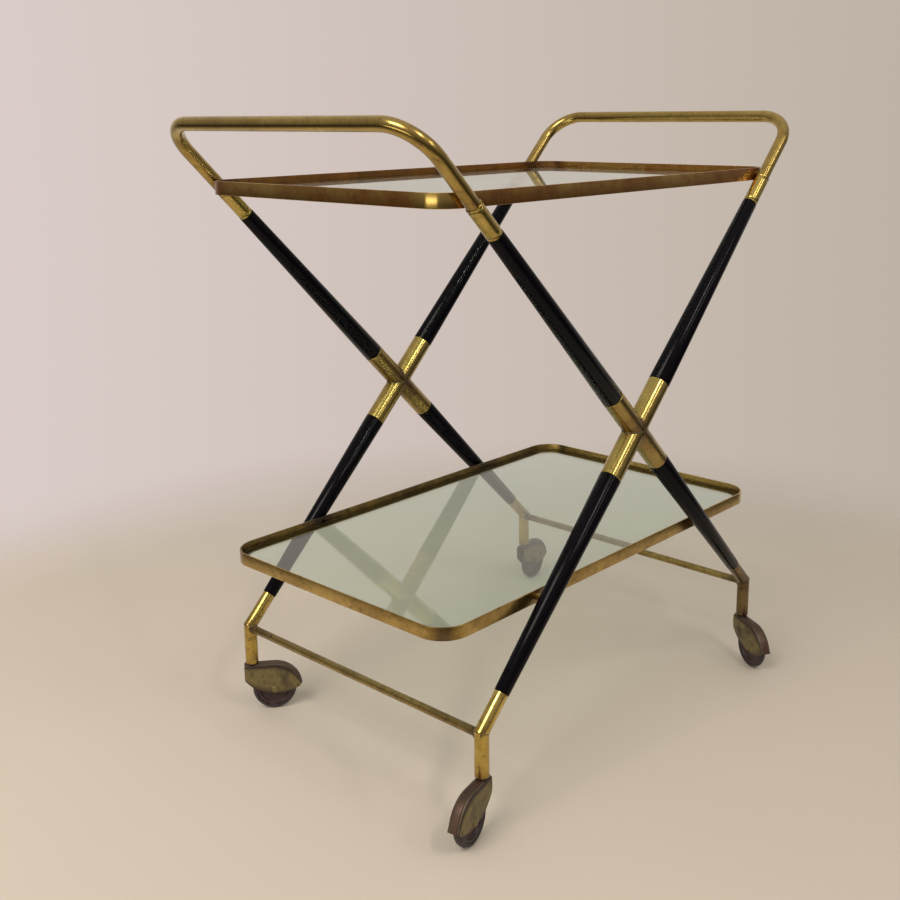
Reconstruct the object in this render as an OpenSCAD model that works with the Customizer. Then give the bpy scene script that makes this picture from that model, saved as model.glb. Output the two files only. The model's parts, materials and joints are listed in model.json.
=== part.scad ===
// Brass serving cart on two crossed leg frames, with two glass trays and four swivel casters.
// Millimetres. X runs along the cart, Y across it, Z up. The origin is on the floor, midway
// between the four caster stems. Front is -Y, rear is +Y, left is -X and right is +X.

/* [Frame] */
// Height of the handle bars' centre lines above the floor
handle_height = 686.5; // [640:0.5:740]
// Distance from the middle of the cart to each handle bar
handle_reach = 327; // [300:1:360]
// Distance from the middle of the cart to each caster stem
foot_reach = 251; // [225:1:280]
// Height at which a leg's axis meets the axis of its stem
foot_height = 106.5; // [102:0.5:125]
// Distance from the middle of the cart to each plane of legs
leg_plane = 183; // [160:1:215]

/* [Handles] */
// Outside diameter of the handle tube
handle_tube_d = 14.5; // [11:0.5:15]
// Wall of the handle tube
handle_wall = 1; // [0.8:0.1:2]
// Radius of the handle's two bends, to the middle of the tube
handle_bend_r = 42; // [25:1:60]
// Length of the ferrule that joins the handle tube to the leg
handle_ferrule_length = 40; // [30:1:56]

/* [Legs] */
// Diameter of a wooden leg at its top, under the handle
leg_top_d = 17; // [16:0.2:19]
// Diameter of a wooden leg at its bottom, on the foot
leg_foot_d = 16; // [15.2:0.2:18]
// Outside diameter of the feet
foot_d = 15; // [14.6:0.2:16]
// Wall of the ferrules and feet
ferrule_wall = 0.9; // [0.7:0.1:1.2]
// Length of the part of a foot that lies along the leg
foot_ferrule_length = 42; // [40:1:60]
// Outside diameter of the sleeves where the legs cross
cross_d = 24; // [20:0.5:27]
// Wall of the crossing sleeves
cross_wall = 1; // [0.8:0.1:2]
// Length of a crossing sleeve, end to end
cross_length = 124; // [100:2:160]

/* [Stretchers] */
// Diameter of the rod that joins two feet
stretcher_d = 9; // [6:0.5:10]
// Height of the elbow, where the axes of leg and stem meet, above the rod's axis
stretcher_drop = 2.7; // [1:0.1:8]
// How far the rod's end stays from the axis of the stem
stretcher_stop = 4; // [2:0.5:5]

/* [Upper tray] */
// Height of the handle bars above the tray's rim
handle_rise = 59.5; // [50:0.5:75]
// How far the tray reaches past the legs at each end
upper_overhang = 25; // [18:1:40]
// Radius of the tray's corners, outside
upper_corner_r = 26; // [24:1:40]
// Height of the tray's band
upper_band_h = 14.5; // [13:0.5:20]
// Thickness of the spacers between the band and the handle tubes
upper_spacer_t = 1; // [1:0.5:8]

/* [Lower tray] */
// Height of the tray's rim above the floor
lower_rim_height = 217; // [195:0.5:245]
// Half the length of the tray
lower_half_length = 286; // [240:1:330]
// Radius of the tray's corners, outside
lower_corner_r = 32; // [24:1:60]
// Height of the tray's band
lower_band_h = 14; // [13:0.5:20]
// Thickness of the spacers between the band and the legs
lower_spacer_t = 4.75; // [1:0.25:10]

/* [Bands and glass] */
// Thickness of the tray bands
band_t = 2; // [1.5:0.1:3]
// Thickness of the glass panes
glass_t = 5; // [3:0.5:6]
// How far the top of the glass lies below the rim
glass_drop = 7; // [6:0.5:7]
// Gap between the edge of the glass and the band
glass_gap = 1; // [0.5:0.1:2]
// Thickness of the ledge that carries the glass
ledge_t = 2; // [1:0.1:2.5]
// Width of the ledge
ledge_w = 8; // [5:0.5:15]

/* [Tray fixings] */
// Diameter of the round spacers
spacer_d = 9; // [8.6:0.2:11]
// Diameter of a screw's shank
screw_d = 4; // [3:0.1:4.5]
// Diameter of a screw's countersunk head
screw_head_d = 7.6; // [6:0.2:8]
// Height of a screw's countersunk head
screw_head_t = 1.6; // [1.2:0.1:2]
// How far an upper screw reaches past the wall of the handle tube
upper_screw_reach = 2.5; // [1:0.5:4]
// How far a lower screw reaches into the wooden leg
lower_screw_reach = 5; // [3:0.5:8]

/* [Wheels] */
// Diameter of a wheel over its tyre
wheel_d = 51; // [46:1:54]
// Width of the tyre
tyre_w = 10; // [8:0.5:11]
// Thickness of the tyre on the wheel's core
tyre_t = 5; // [3:0.5:7]
// Radius of the rounded tread, seen from the front
tread_r = 7; // [6:0.5:20]
// Width of the wheel's core at its rim
core_w = 9; // [7:0.5:10]
// Diameter of the wheel's hub
hub_d = 14; // [10:0.5:18]
// Depth of the dish between the hub and the rim
dish_depth = 2.5; // [1:0.5:3]
// Thickness of the core's rim under the tyre
rim_t = 3.5; // [2:0.5:6]

/* [Caster hoods] */
// Horizontal distance from the swivel axis to the axle
trail = 25; // [22:0.5:32]
// Gap between the tyre and the outside of the hood's spine
hood_gap = 7.5; // [6:0.5:9]
// Width of the hood over its side plates
hood_w = 14; // [14:0.5:20]
// Width of the raised spine
spine_w = 8.5; // [6:0.5:11]
// How far the spine stands above the side plates' shoulders
spine_rise = 1.5; // [0.5:0.1:2]
// Thickness of the hood's sheet
hood_sheet = 1.2; // [0.8:0.1:1.2]
// Reach of the hood's nose in front of the swivel axis
nose_reach = 9.5; // [9:0.5:12]
// Radius of the side plates' lower edge
skirt_r = 46.5; // [44:0.5:52]
// Lowest point of the side plates' lower edge, above the floor
skirt_low = 19; // [16:0.5:22]
// How far the lowest point of the skirt lies behind the axle
skirt_shift = 3.4; // [0:0.2:6]
// Height of the spine's tail above the axle
tail_rise = 3.5; // [0:0.5:6]
// Radius of the lobe round the axle
axle_lobe_r = 6; // [5:0.5:8]

/* [Caster pins] */
// Diameter of the swivel pin
swivel_pin_d = 8; // [6:0.5:9]
// Diameter of the swivel pin's riveted head
swivel_head_d = 10.5; // [9.5:0.5:11]
// Thickness of the swivel pin's head
swivel_head_t = 2; // [1:0.1:2.5]
// Diameter of the washer under the stem
washer_d = 14; // [12:0.5:16]
// Thickness of the washer
washer_t = 1; // [0.8:0.1:2]
// Diameter of the axle
axle_d = 5; // [4:0.5:6]
// Diameter of the axle's riveted heads
axle_head_d = 9; // [8:0.5:11]
// Thickness of the axle's heads
axle_head_t = 1.5; // [1:0.1:2]

/* [Caster positions] */
// Turn of the left front caster's trail, from +X towards +Y
angle_left_front = 193; // [-180:1:360]
// Turn of the left rear caster's trail, from +X towards +Y
angle_left_rear = -38; // [-180:1:360]
// Turn of the right front caster's trail, from +X towards +Y
angle_right_front = -118; // [-180:1:360]
// Turn of the right rear caster's trail, from +X towards +Y
angle_right_rear = 8; // [-180:1:360]

/* [Clearances] */
// Gap round parts that are pressed, glued or soldered together
fit_gap = 0.1; // [0.05:0.01:0.15]
// Gap round pins that turn in a bore
running_gap = 0.05; // [0.03:0.01:0.1]
// Gap between the hood and the washer above it
swivel_gap = 0.2; // [0.1:0.05:0.5]
// Gap between the wheel's hub and the hood's side plates
hub_gap = 0.3; // [0.2:0.05:0.5]
// Free length left between two parts that meet end to end inside a ferrule
end_gap = 1; // [0.5:0.1:3]
// Free length between a spigot and whatever lies deeper in its sleeve
spigot_stop = 20; // [14:0.5:24]
// Clear height between a caster socket and the stretcher above it
socket_margin = 7; // [3:0.5:10]
// Clear distance along the tube from an upper spacer to the ferrule
ferrule_margin = 1.7; // [0.5:0.1:5]
// Bevel on the ends of ferrules, sleeves, rods and pins
bevel = 0.3; // [0.1:0.05:0.4]

/* [Hidden] */
$fn = 96;
BIG = 400;
CUT = 1;

LEFT = -1;
RIGHT = 1;
FRONT = -1;
REAR = 1;
SIDES = [LEFT, RIGHT];
ENDS = [FRONT, REAR];

// The outlines of the trays are rounded, so that their straight sides and corners meet exactly.
function hundredths(x) = round(100 * x) / 100;

// The left handle's legs run down to the right feet, and the right handle's to the left feet.
lean = atan2(handle_reach + foot_reach, handle_height - foot_height);
leg_length = (handle_height - foot_height) / cos(lean);
cross_at = handle_reach / sin(lean);

upper_rim_height = handle_height - handle_rise;
upper_fix_z = upper_rim_height - upper_band_h / 2;
upper_fix_at = (handle_height - upper_fix_z) / cos(lean);
upper_fix_x = handle_reach - upper_fix_at * sin(lean);
upper_half_length = hundredths(upper_fix_x + upper_overhang);
upper_half_width = hundredths(leg_plane - handle_tube_d / 2 - upper_spacer_t);

ferrule_at = upper_fix_at + spacer_d / 2 + ferrule_margin;
ferrule_bore = handle_tube_d + 2 * fit_gap;
ferrule_d = ferrule_bore + 2 * ferrule_wall;
foot_bore = foot_d - 2 * ferrule_wall;
ferrule_insert = (handle_ferrule_length - end_gap) / 2;
leg_top_at = ferrule_at + handle_ferrule_length;
leg_foot_at = leg_length - foot_ferrule_length;
cross_bore = cross_d - 2 * cross_wall;
cross_insert = cross_length / 2 - cross_d / 2 - spigot_stop;
foot_insert = foot_ferrule_length - spigot_stop - stretcher_d;
leg_lower_length = leg_foot_at - cross_at - cross_length / 2;

lower_fix_z = lower_rim_height - lower_band_h / 2;
lower_fix_at = (handle_height - lower_fix_z) / cos(lean);
lower_fix_x = lower_fix_at * sin(lean) - handle_reach;
lower_leg_r = leg_foot_d / 2
    + (cross_d - leg_foot_d) / 2 * (leg_foot_at - lower_fix_at) / leg_lower_length;
lower_half_width = hundredths(leg_plane - lower_leg_r - lower_spacer_t);

// Inner faces of the bands where the screws sit, and the screws' lengths from there
upper_face = upper_half_width - band_t
    - corner_drop(upper_fix_x, upper_half_length - band_t, upper_corner_r - band_t);
lower_face = lower_half_width - band_t
    - corner_drop(lower_fix_x, lower_half_length - band_t, lower_corner_r - band_t);
upper_screw_length = leg_plane - handle_tube_d / 2 + handle_wall + upper_screw_reach - upper_face;
lower_screw_length = leg_plane - lower_leg_r + lower_screw_reach - lower_face;

stretcher_z = foot_height - stretcher_drop;
hood_top = wheel_d + hood_gap;
stem_bottom = hood_top + swivel_gap + washer_t;
socket_top = stretcher_z - stretcher_d / 2 - socket_margin;
socket_bore = swivel_pin_d + 2 * running_gap;
axle_z = wheel_d / 2;
spine_r = axle_z + hood_gap;
plate_gap = hood_w / 2 - hood_sheet;
washer_bore = swivel_pin_d + 4 * running_gap;

BRASS = [0.62, 0.49, 0.22];
WORN_BRASS = [0.48, 0.38, 0.20];
LACQUER = [0.07, 0.06, 0.08];
GLASS = [0.72, 0.78, 0.76, 0.5];
STEEL = [0.55, 0.54, 0.52];
WHEEL_BLACK = [0.20, 0.14, 0.13];

function side_word(side) = side == LEFT ? "left" : "right";
function end_word(end) = end == FRONT ? "front" : "rear";
function corner_name(part, side, end) = str(part, "_", side_word(side), "_", end_word(end));
function trail_angle(side, end) =
    side == LEFT
        ? (end == FRONT ? angle_left_front : angle_left_rear)
        : (end == FRONT ? angle_right_front : angle_right_rear);

// How far a rounded rectangle's long side has turned in at x
function corner_drop(x, half_length, r) =
    let (past = x - (half_length - r)) past > 0 ? r - sqrt(r * r - past * past) : 0;

CORNER_PARTS = ["handle_ferrule", "leg_upper", "leg_lower", "foot",
    "caster_pin", "caster_hood", "caster_axle", "wheel", "tyre"];
END_PARTS = ["cross_through", "cross_stub_upper", "cross_stub_lower"];

// Shapes that several parts share

module tube(outer_d, inner_d, length) {
    rotate_extrude()
        polygon([
            [inner_d / 2, 0], [outer_d / 2 - bevel, 0], [outer_d / 2, bevel],
            [outer_d / 2, length - bevel], [outer_d / 2 - bevel, length], [inner_d / 2, length]
        ]);
}

// A line of legs starts at the handle on one side; z then runs down the leg from the handle bar.
module on_leg(side, end, at) {
    translate([side * handle_reach, end * leg_plane, handle_height])
        rotate([0, 180 + side * lean, 0])
            translate([0, 0, at])
                children();
}

// At a caster's swivel axis on the floor, with x along its trail.
module on_caster(side, end) {
    translate([side * foot_reach, end * leg_plane, 0])
        rotate([0, 0, trail_angle(side, end)])
            children();
}

module at_axle() {
    translate([trail, 0, axle_z])
        rotate([90, 0, 0])
            children();
}

module rounded_plate(half_length, half_width, r, height) {
    translate([-half_length + r, -half_width, 0])
        cube([2 * (half_length - r), 2 * half_width, height]);
    for (side = SIDES) {
        translate([side == LEFT ? -half_length : half_length - r, -half_width + r, 0])
            cube([r, 2 * (half_width - r), height]);
        for (end = ENDS)
            translate([side * (half_length - r), end * (half_width - r), 0])
                rotate([0, 0, atan2(end, side) - 45])
                    rotate_extrude(angle = 90)
                        square([r, height]);
    }
}

module rounded_ring(half_length, half_width, r, wall, height) {
    difference() {
        rounded_plate(half_length, half_width, r, height);
        translate([0, 0, -CUT])
            rounded_plate(half_length - wall, half_width - wall, r - wall, height + 2 * CUT);
    }
}

// Handles

// The U of a handle in the slanted plane of its legs, as a solid of radius r
module handle_path(r, past_end) {
    straight = leg_plane - handle_bend_r;
    rotate([90, 0, 0])
        cylinder(r = r, h = 2 * straight, center = true);
    for (end = ENDS) {
        translate([0, end * straight, handle_bend_r])
            rotate([0, 90, 0])
                rotate([0, 0, end == REAR ? 0 : -90])
                    rotate_extrude(angle = 90)
                        translate([handle_bend_r, 0])
                            circle(r = r);
        translate([0, end * leg_plane, handle_bend_r])
            cylinder(r = r, h = ferrule_at + ferrule_insert - handle_bend_r + past_end);
    }
}

module handle(side) {
    color(BRASS)
        difference() {
            on_leg(side, 0, 0)
                difference() {
                    handle_path(handle_tube_d / 2, 0);
                    handle_path(handle_tube_d / 2 - handle_wall, CUT);
                }
            for (end = ENDS)
                at_upper_fixing(side, end)
                    screw_hole(upper_screw_length);
        }
}

module handle_ferrule(side, end) {
    color(BRASS)
        on_leg(side, end, ferrule_at)
            tube(ferrule_d, ferrule_bore, handle_ferrule_length);
}

// Wooden legs and the sleeves where they cross

module leg_upper(side, end) {
    length = cross_at - cross_length / 2 - leg_top_at;
    color(LACQUER)
        on_leg(side, end, leg_top_at)
            rotate_extrude()
                polygon([
                    [0, -ferrule_insert], [ferrule_bore / 2 - fit_gap, -ferrule_insert],
                    [ferrule_bore / 2 - fit_gap, 0], [leg_top_d / 2, 0],
                    [cross_d / 2, length], [cross_bore / 2 - fit_gap, length],
                    [cross_bore / 2 - fit_gap, length + cross_insert], [0, length + cross_insert]
                ]);
}

// A lower leg is named after the foot it stands on, so it hangs from the other side's handle.
module leg_lower(side, end) {
    length = leg_lower_length;
    color(LACQUER)
        difference() {
            on_leg(-side, end, cross_at + cross_length / 2)
                rotate_extrude()
                    polygon([
                        [0, -cross_insert], [cross_bore / 2 - fit_gap, -cross_insert],
                        [cross_bore / 2 - fit_gap, 0], [cross_d / 2, 0],
                        [leg_foot_d / 2, length], [foot_bore / 2 - fit_gap, length],
                        [foot_bore / 2 - fit_gap, length + foot_insert], [0, length + foot_insert]
                    ]);
            at_lower_fixing(side, end)
                screw_hole(lower_screw_length);
        }
}

// The sleeve on the left handle's legs runs straight through the crossing.
module cross_through(end) {
    color(BRASS)
        on_leg(LEFT, end, cross_at - cross_length / 2)
            tube(cross_d, cross_bore, cross_length);
}

// The sleeve on the right handle's legs is in two halves, fitted round the other one.
module cross_stub(end, at) {
    color(BRASS)
        difference() {
            on_leg(RIGHT, end, at)
                tube(cross_d, cross_bore, cross_length / 2);
            on_leg(LEFT, end, 0)
                cylinder(d = cross_d + 2 * fit_gap, h = 2 * cross_at);
        }
}

// Feet and stretchers

// Two tubes that meet in a mitre at the elbow, as a solid of radius r. Both are drawn about the
// mitre plane, so that their cut ends match, and then turned so that the stem stands upright.
module elbow(side, r, past_end) {
    half = side * lean / 2;
    overlap = 2 * r;
    rotate([0, -half, 0]) {
        intersection() {
            rotate([0, -half, 0])
                translate([0, 0, -overlap])
                    cylinder(r = r, h = foot_ferrule_length + past_end + overlap);
            translate([-BIG / 2, -BIG / 2, 0])
                cube(BIG);
        }
        intersection() {
            rotate([0, half, 0])
                translate([0, 0, stem_bottom - foot_height - past_end])
                    cylinder(r = r, h = foot_height - stem_bottom + past_end + overlap);
            translate([-BIG / 2, -BIG / 2, -BIG])
                cube(BIG);
        }
    }
}

module foot(side, end) {
    color(BRASS)
        translate([side * foot_reach, end * leg_plane, foot_height])
            difference() {
                elbow(side, foot_d / 2, 0);
                elbow(side, foot_bore / 2, CUT);
                translate([0, 0, -stretcher_drop])
                    rotate([end * 90, 0, 0])
                        cylinder(d = stretcher_d + 2 * fit_gap, h = foot_d);
            }
}

module stretcher(side) {
    length = 2 * (leg_plane - stretcher_stop);
    color(WORN_BRASS)
        translate([side * foot_reach, length / 2, stretcher_z])
            rotate([90, 0, 0])
                rotate_extrude()
                    polygon([
                        [0, 0], [stretcher_d / 2 - bevel, 0], [stretcher_d / 2, bevel],
                        [stretcher_d / 2, length - bevel], [stretcher_d / 2 - bevel, length],
                        [0, length]
                    ]);
}

// Tray fixings: each screw goes from inside the band through a spacer into a leg line

// At the inner face of the band, with z pointing out towards the handle tube
module at_upper_fixing(side, end) {
    translate([side * upper_fix_x, end * upper_face, upper_fix_z])
        rotate([-end * 90, 0, 0])
            children();
}

// The same at the lower tray, by the side of the foot that the leg stands on
module at_lower_fixing(side, end) {
    translate([side * lower_fix_x, end * lower_face, lower_fix_z])
        rotate([-end * 90, 0, 0])
            children();
}

module screw_body(length, gap, head_room) {
    rotate_extrude()
        polygon([
            [0, -head_room], [screw_head_d / 2 + gap, -head_room], [screw_head_d / 2 + gap, 0],
            [screw_d / 2 + gap, screw_head_t], [screw_d / 2 + gap, length + gap], [0, length + gap]
        ]);
}

module screw_hole(length) {
    screw_body(length, fit_gap, 2 * band_t);
}

module screw(length) {
    rotate_extrude()
        polygon([
            [0, 0], [screw_head_d / 2, 0], [screw_d / 2, screw_head_t],
            [screw_d / 2, length - bevel], [screw_d / 2 - bevel, length], [0, length]
        ]);
}

module spacer(reach) {
    rotate_extrude()
        translate([screw_d / 2 + fit_gap, 0])
            square([(spacer_d - screw_d) / 2 - fit_gap, reach]);
}

module upper_tray_spacers() {
    color(BRASS)
        for (side = SIDES)
            for (end = ENDS)
                difference() {
                    at_upper_fixing(side, end)
                        spacer(leg_plane - upper_face);
                    translate([0, 0, upper_rim_height - 2 * upper_band_h])
                        rounded_plate(upper_half_length + fit_gap, upper_half_width + fit_gap,
                            upper_corner_r + fit_gap, 3 * upper_band_h);
                    on_leg(side, end, 0)
                        cylinder(d = handle_tube_d + 2 * fit_gap, h = 2 * upper_fix_at);
                }
}

module lower_tray_spacers() {
    color(BRASS)
        for (side = SIDES)
            for (end = ENDS)
                difference() {
                    at_lower_fixing(side, end)
                        spacer(leg_plane - lower_face);
                    translate([0, 0, lower_rim_height - 2 * lower_band_h])
                        rounded_plate(lower_half_length + fit_gap, lower_half_width + fit_gap,
                            lower_corner_r + fit_gap, 3 * lower_band_h);
                    on_leg(-side, end, cross_at + cross_length / 2)
                        cylinder(d1 = cross_d + 2 * fit_gap, d2 = leg_foot_d + 2 * fit_gap,
                            h = leg_lower_length);
                }
}

module upper_tray_screws() {
    color(WORN_BRASS)
        for (side = SIDES)
            for (end = ENDS)
                at_upper_fixing(side, end)
                    screw(upper_screw_length);
}

module lower_tray_screws() {
    color(WORN_BRASS)
        for (side = SIDES)
            for (end = ENDS)
                at_lower_fixing(side, end)
                    screw(lower_screw_length);
}

// Trays

module upper_tray_band() {
    color(BRASS)
        difference() {
            translate([0, 0, upper_rim_height - upper_band_h])
                rounded_ring(upper_half_length, upper_half_width, upper_corner_r, band_t, upper_band_h);
            for (side = SIDES)
                for (end = ENDS)
                    at_upper_fixing(side, end)
                        screw_hole(upper_screw_length);
        }
}

module lower_tray_band() {
    color(BRASS)
        difference() {
            translate([0, 0, lower_rim_height - lower_band_h])
                rounded_ring(lower_half_length, lower_half_width, lower_corner_r, band_t, lower_band_h);
            for (side = SIDES)
                for (end = ENDS)
                    at_lower_fixing(side, end)
                        screw_hole(lower_screw_length);
        }
}

// The ledge is soldered inside the band and carries the glass.
module tray_ledge(half_length, half_width, r, rim) {
    inset = band_t + fit_gap;
    color(WORN_BRASS)
        translate([0, 0, rim - glass_drop - glass_t - ledge_t])
            rounded_ring(half_length - inset, half_width - inset, r - inset, ledge_w, ledge_t);
}

module tray_glass(half_length, half_width, r, rim) {
    inset = band_t + glass_gap;
    color(GLASS)
        translate([0, 0, rim - glass_drop - glass_t])
            rounded_plate(half_length - inset, half_width - inset, r - inset, glass_t);
}

module upper_tray_ledge() {
    tray_ledge(upper_half_length, upper_half_width, upper_corner_r, upper_rim_height);
}

module lower_tray_ledge() {
    tray_ledge(lower_half_length, lower_half_width, lower_corner_r, lower_rim_height);
}

module upper_glass() {
    tray_glass(upper_half_length, upper_half_width, upper_corner_r, upper_rim_height);
}

module lower_glass() {
    tray_glass(lower_half_length, lower_half_width, lower_corner_r, lower_rim_height);
}

// Casters

module caster_sockets() {
    color(STEEL)
        for (side = SIDES)
            for (end = ENDS)
                translate([side * foot_reach, end * leg_plane, stem_bottom])
                    tube(foot_bore - 2 * fit_gap, socket_bore, socket_top - stem_bottom);
}

module caster_washers() {
    color(STEEL)
        for (side = SIDES)
            for (end = ENDS)
                translate([side * foot_reach, end * leg_plane, stem_bottom - washer_t])
                    tube(washer_d, washer_bore, washer_t);
}

module caster_pin(side, end) {
    seat = hood_top - hood_sheet;
    tip = socket_top - end_gap;
    color(STEEL)
        on_caster(side, end)
            rotate_extrude()
                polygon([
                    [0, seat - swivel_head_t], [swivel_head_d / 2, seat - swivel_head_t],
                    [swivel_head_d / 2, seat], [swivel_pin_d / 2, seat],
                    [swivel_pin_d / 2, tip - bevel], [swivel_pin_d / 2 - bevel, tip], [0, tip]
                ]);
}

// A side view drawn with x along the trail and y upwards, made w wide
module caster_slab(w) {
    rotate([90, 0, 0])
        linear_extrude(w, center = true)
            children();
}

// The area under an arch of radius r over the axle, with a flat top that runs forward past the swivel
module arch(r, nose) {
    translate([trail, axle_z])
        circle(r = r);
    translate([-nose, 0])
        square([trail + nose, axle_z + r]);
}

module skirt() {
    translate([trail + skirt_shift, skirt_low + skirt_r])
        circle(r = skirt_r);
}

module side_plates() {
    caster_slab(hood_w)
        union() {
            intersection() {
                arch(spine_r - spine_rise, nose_reach);
                skirt();
            }
            translate([trail, axle_z])
                circle(r = axle_lobe_r);
        }
}

module spine() {
    caster_slab(spine_w)
        intersection() {
            arch(spine_r, nose_reach);
            union() {
                skirt();
                translate([trail, axle_z + tail_rise])
                    square([spine_r, spine_r]);
            }
        }
}

module caster_hood(side, end) {
    pad_reach = washer_d / 2 + hood_sheet;
    color(WORN_BRASS)
        on_caster(side, end)
            difference() {
                union() {
                    side_plates();
                    spine();
                    caster_slab(hood_w)
                        translate([-nose_reach, hood_top - spine_rise - hood_sheet])
                            square([nose_reach + pad_reach, spine_rise + hood_sheet]);
                }
                caster_slab(2 * plate_gap)
                    arch(spine_r - spine_rise - hood_sheet, nose_reach + CUT);
                caster_slab(2 * plate_gap)
                    translate([-nose_reach - CUT, 0])
                        square([nose_reach + CUT + pad_reach - hood_sheet, hood_top - hood_sheet]);
                caster_slab(spine_w - 2 * hood_sheet)
                    arch(spine_r - hood_sheet, nose_reach + CUT);
                cylinder(d = swivel_pin_d + 2 * fit_gap, h = hood_top + CUT);
                at_axle()
                    cylinder(d = axle_d + 2 * fit_gap, h = hood_w + 2 * CUT, center = true);
            }
}

module caster_axle(side, end) {
    half = hood_w / 2;
    tip = half + axle_head_t;
    color(STEEL)
        on_caster(side, end)
            at_axle()
                rotate_extrude()
                    polygon([
                        [0, -tip], [axle_head_d / 2 - axle_head_t / 2, -tip],
                        [axle_head_d / 2, -half - axle_head_t / 2], [axle_head_d / 2, -half],
                        [axle_d / 2, -half], [axle_d / 2, half],
                        [axle_head_d / 2, half], [axle_head_d / 2, half + axle_head_t / 2],
                        [axle_head_d / 2 - axle_head_t / 2, tip], [0, tip]
                    ]);
}

module wheel(side, end) {
    bore_r = axle_d / 2 + running_gap;
    hub_half = plate_gap - hub_gap;
    rim_r = wheel_d / 2 - tyre_t;
    web_half = core_w / 2 - dish_depth;
    color(WHEEL_BLACK)
        on_caster(side, end)
            at_axle()
                rotate_extrude()
                    polygon([
                        [bore_r, -hub_half], [hub_d / 2, -hub_half], [hub_d / 2, -web_half],
                        [rim_r - rim_t, -web_half], [rim_r - rim_t, -core_w / 2], [rim_r, -core_w / 2],
                        [rim_r, core_w / 2], [rim_r - rim_t, core_w / 2], [rim_r - rim_t, web_half],
                        [hub_d / 2, web_half], [hub_d / 2, hub_half], [bore_r, hub_half]
                    ]);
}

module tyre(side, end) {
    inner_r = wheel_d / 2 - tyre_t + fit_gap;
    color(WHEEL_BLACK)
        on_caster(side, end)
            at_axle()
                rotate_extrude()
                    intersection() {
                        translate([inner_r, -tyre_w / 2])
                            square([tyre_t, tyre_w]);
                        translate([wheel_d / 2 - tread_r, 0])
                            circle(r = tread_r);
                    }
}

handle(LEFT);  // left_handle
handle(RIGHT);  // right_handle
for (side = SIDES)
    for (end = ENDS) {
        handle_ferrule(side, end);
        leg_upper(side, end);
        leg_lower(side, end);
        foot(side, end);
        caster_pin(side, end);
        caster_hood(side, end);
        caster_axle(side, end);
        wheel(side, end);
        tyre(side, end);
    }
for (end = ENDS) {
    cross_through(end);
    cross_stub(end, cross_at - cross_length / 2);
    cross_stub(end, cross_at);
}
stretcher(LEFT);  // stretcher_left
stretcher(RIGHT);  // stretcher_right
upper_tray_band();
upper_tray_ledge();
upper_tray_spacers();
upper_tray_screws();
upper_glass();
lower_tray_band();
lower_tray_ledge();
lower_tray_spacers();
lower_tray_screws();
lower_glass();
caster_sockets();
caster_washers();
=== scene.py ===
"""Brass and black lacquer serving cart with two glass trays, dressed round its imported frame."""
import json
import math

import bmesh
import bpy
from mathutils import Matrix, Vector


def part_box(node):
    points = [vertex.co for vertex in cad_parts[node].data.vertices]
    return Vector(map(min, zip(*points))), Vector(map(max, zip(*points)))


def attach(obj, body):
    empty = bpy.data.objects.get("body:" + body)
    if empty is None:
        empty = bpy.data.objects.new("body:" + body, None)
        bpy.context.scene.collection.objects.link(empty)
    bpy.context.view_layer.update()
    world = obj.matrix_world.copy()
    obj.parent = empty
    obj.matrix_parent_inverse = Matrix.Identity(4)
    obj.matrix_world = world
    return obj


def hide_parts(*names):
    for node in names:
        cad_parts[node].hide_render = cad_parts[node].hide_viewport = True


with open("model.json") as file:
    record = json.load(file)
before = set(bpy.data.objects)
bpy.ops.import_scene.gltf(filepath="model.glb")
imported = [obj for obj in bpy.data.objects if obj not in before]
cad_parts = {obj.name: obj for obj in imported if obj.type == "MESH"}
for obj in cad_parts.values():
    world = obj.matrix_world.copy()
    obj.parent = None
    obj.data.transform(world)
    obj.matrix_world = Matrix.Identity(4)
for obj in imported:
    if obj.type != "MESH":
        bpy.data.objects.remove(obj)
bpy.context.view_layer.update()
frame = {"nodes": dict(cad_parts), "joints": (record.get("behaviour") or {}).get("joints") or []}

# Sizes that the frame's boxes and joints don't give, in metres
MM = 0.001
HANDLE_TUBE_R = 7.25 * MM
HANDLE_BEND_R = 42 * MM
FERRULE_R = 8.25 * MM
FERRULE_BORE_R = 7.35 * MM
FERRULE_LENGTH = 40 * MM
FOOT_R = 7.5 * MM
FOOT_BORE_R = 6.6 * MM
FOOT_HEIGHT = 106.5 * MM
FOOT_FERRULE_LENGTH = 42 * MM
LEG_TOP_R = 8.5 * MM
LEG_FOOT_R = 8 * MM
SLEEVE_R = 12 * MM
SLEEVE_BORE_R = 11 * MM
SLEEVE_LENGTH = 124 * MM
COPE_GAP = 0.1 * MM
SPACER_R = 4.5 * MM
SPACER_MARGIN = 1.7 * MM
STRETCHER_R = 4.5 * MM
LIP = 0.5 * MM
BAND_T = 2 * MM
UPPER_CORNER_R = 26 * MM
LOWER_CORNER_R = 32 * MM
GLASS_GAP = 1 * MM
ARRIS = 0.8 * MM
SCREW_R = 2 * MM
SCREW_HEAD_T = 1.6 * MM
SLOT_W = 0.9 * MM
SLOT_DEPTH = 0.8 * MM
WASHER_BORE_R = 4.1 * MM

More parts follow.
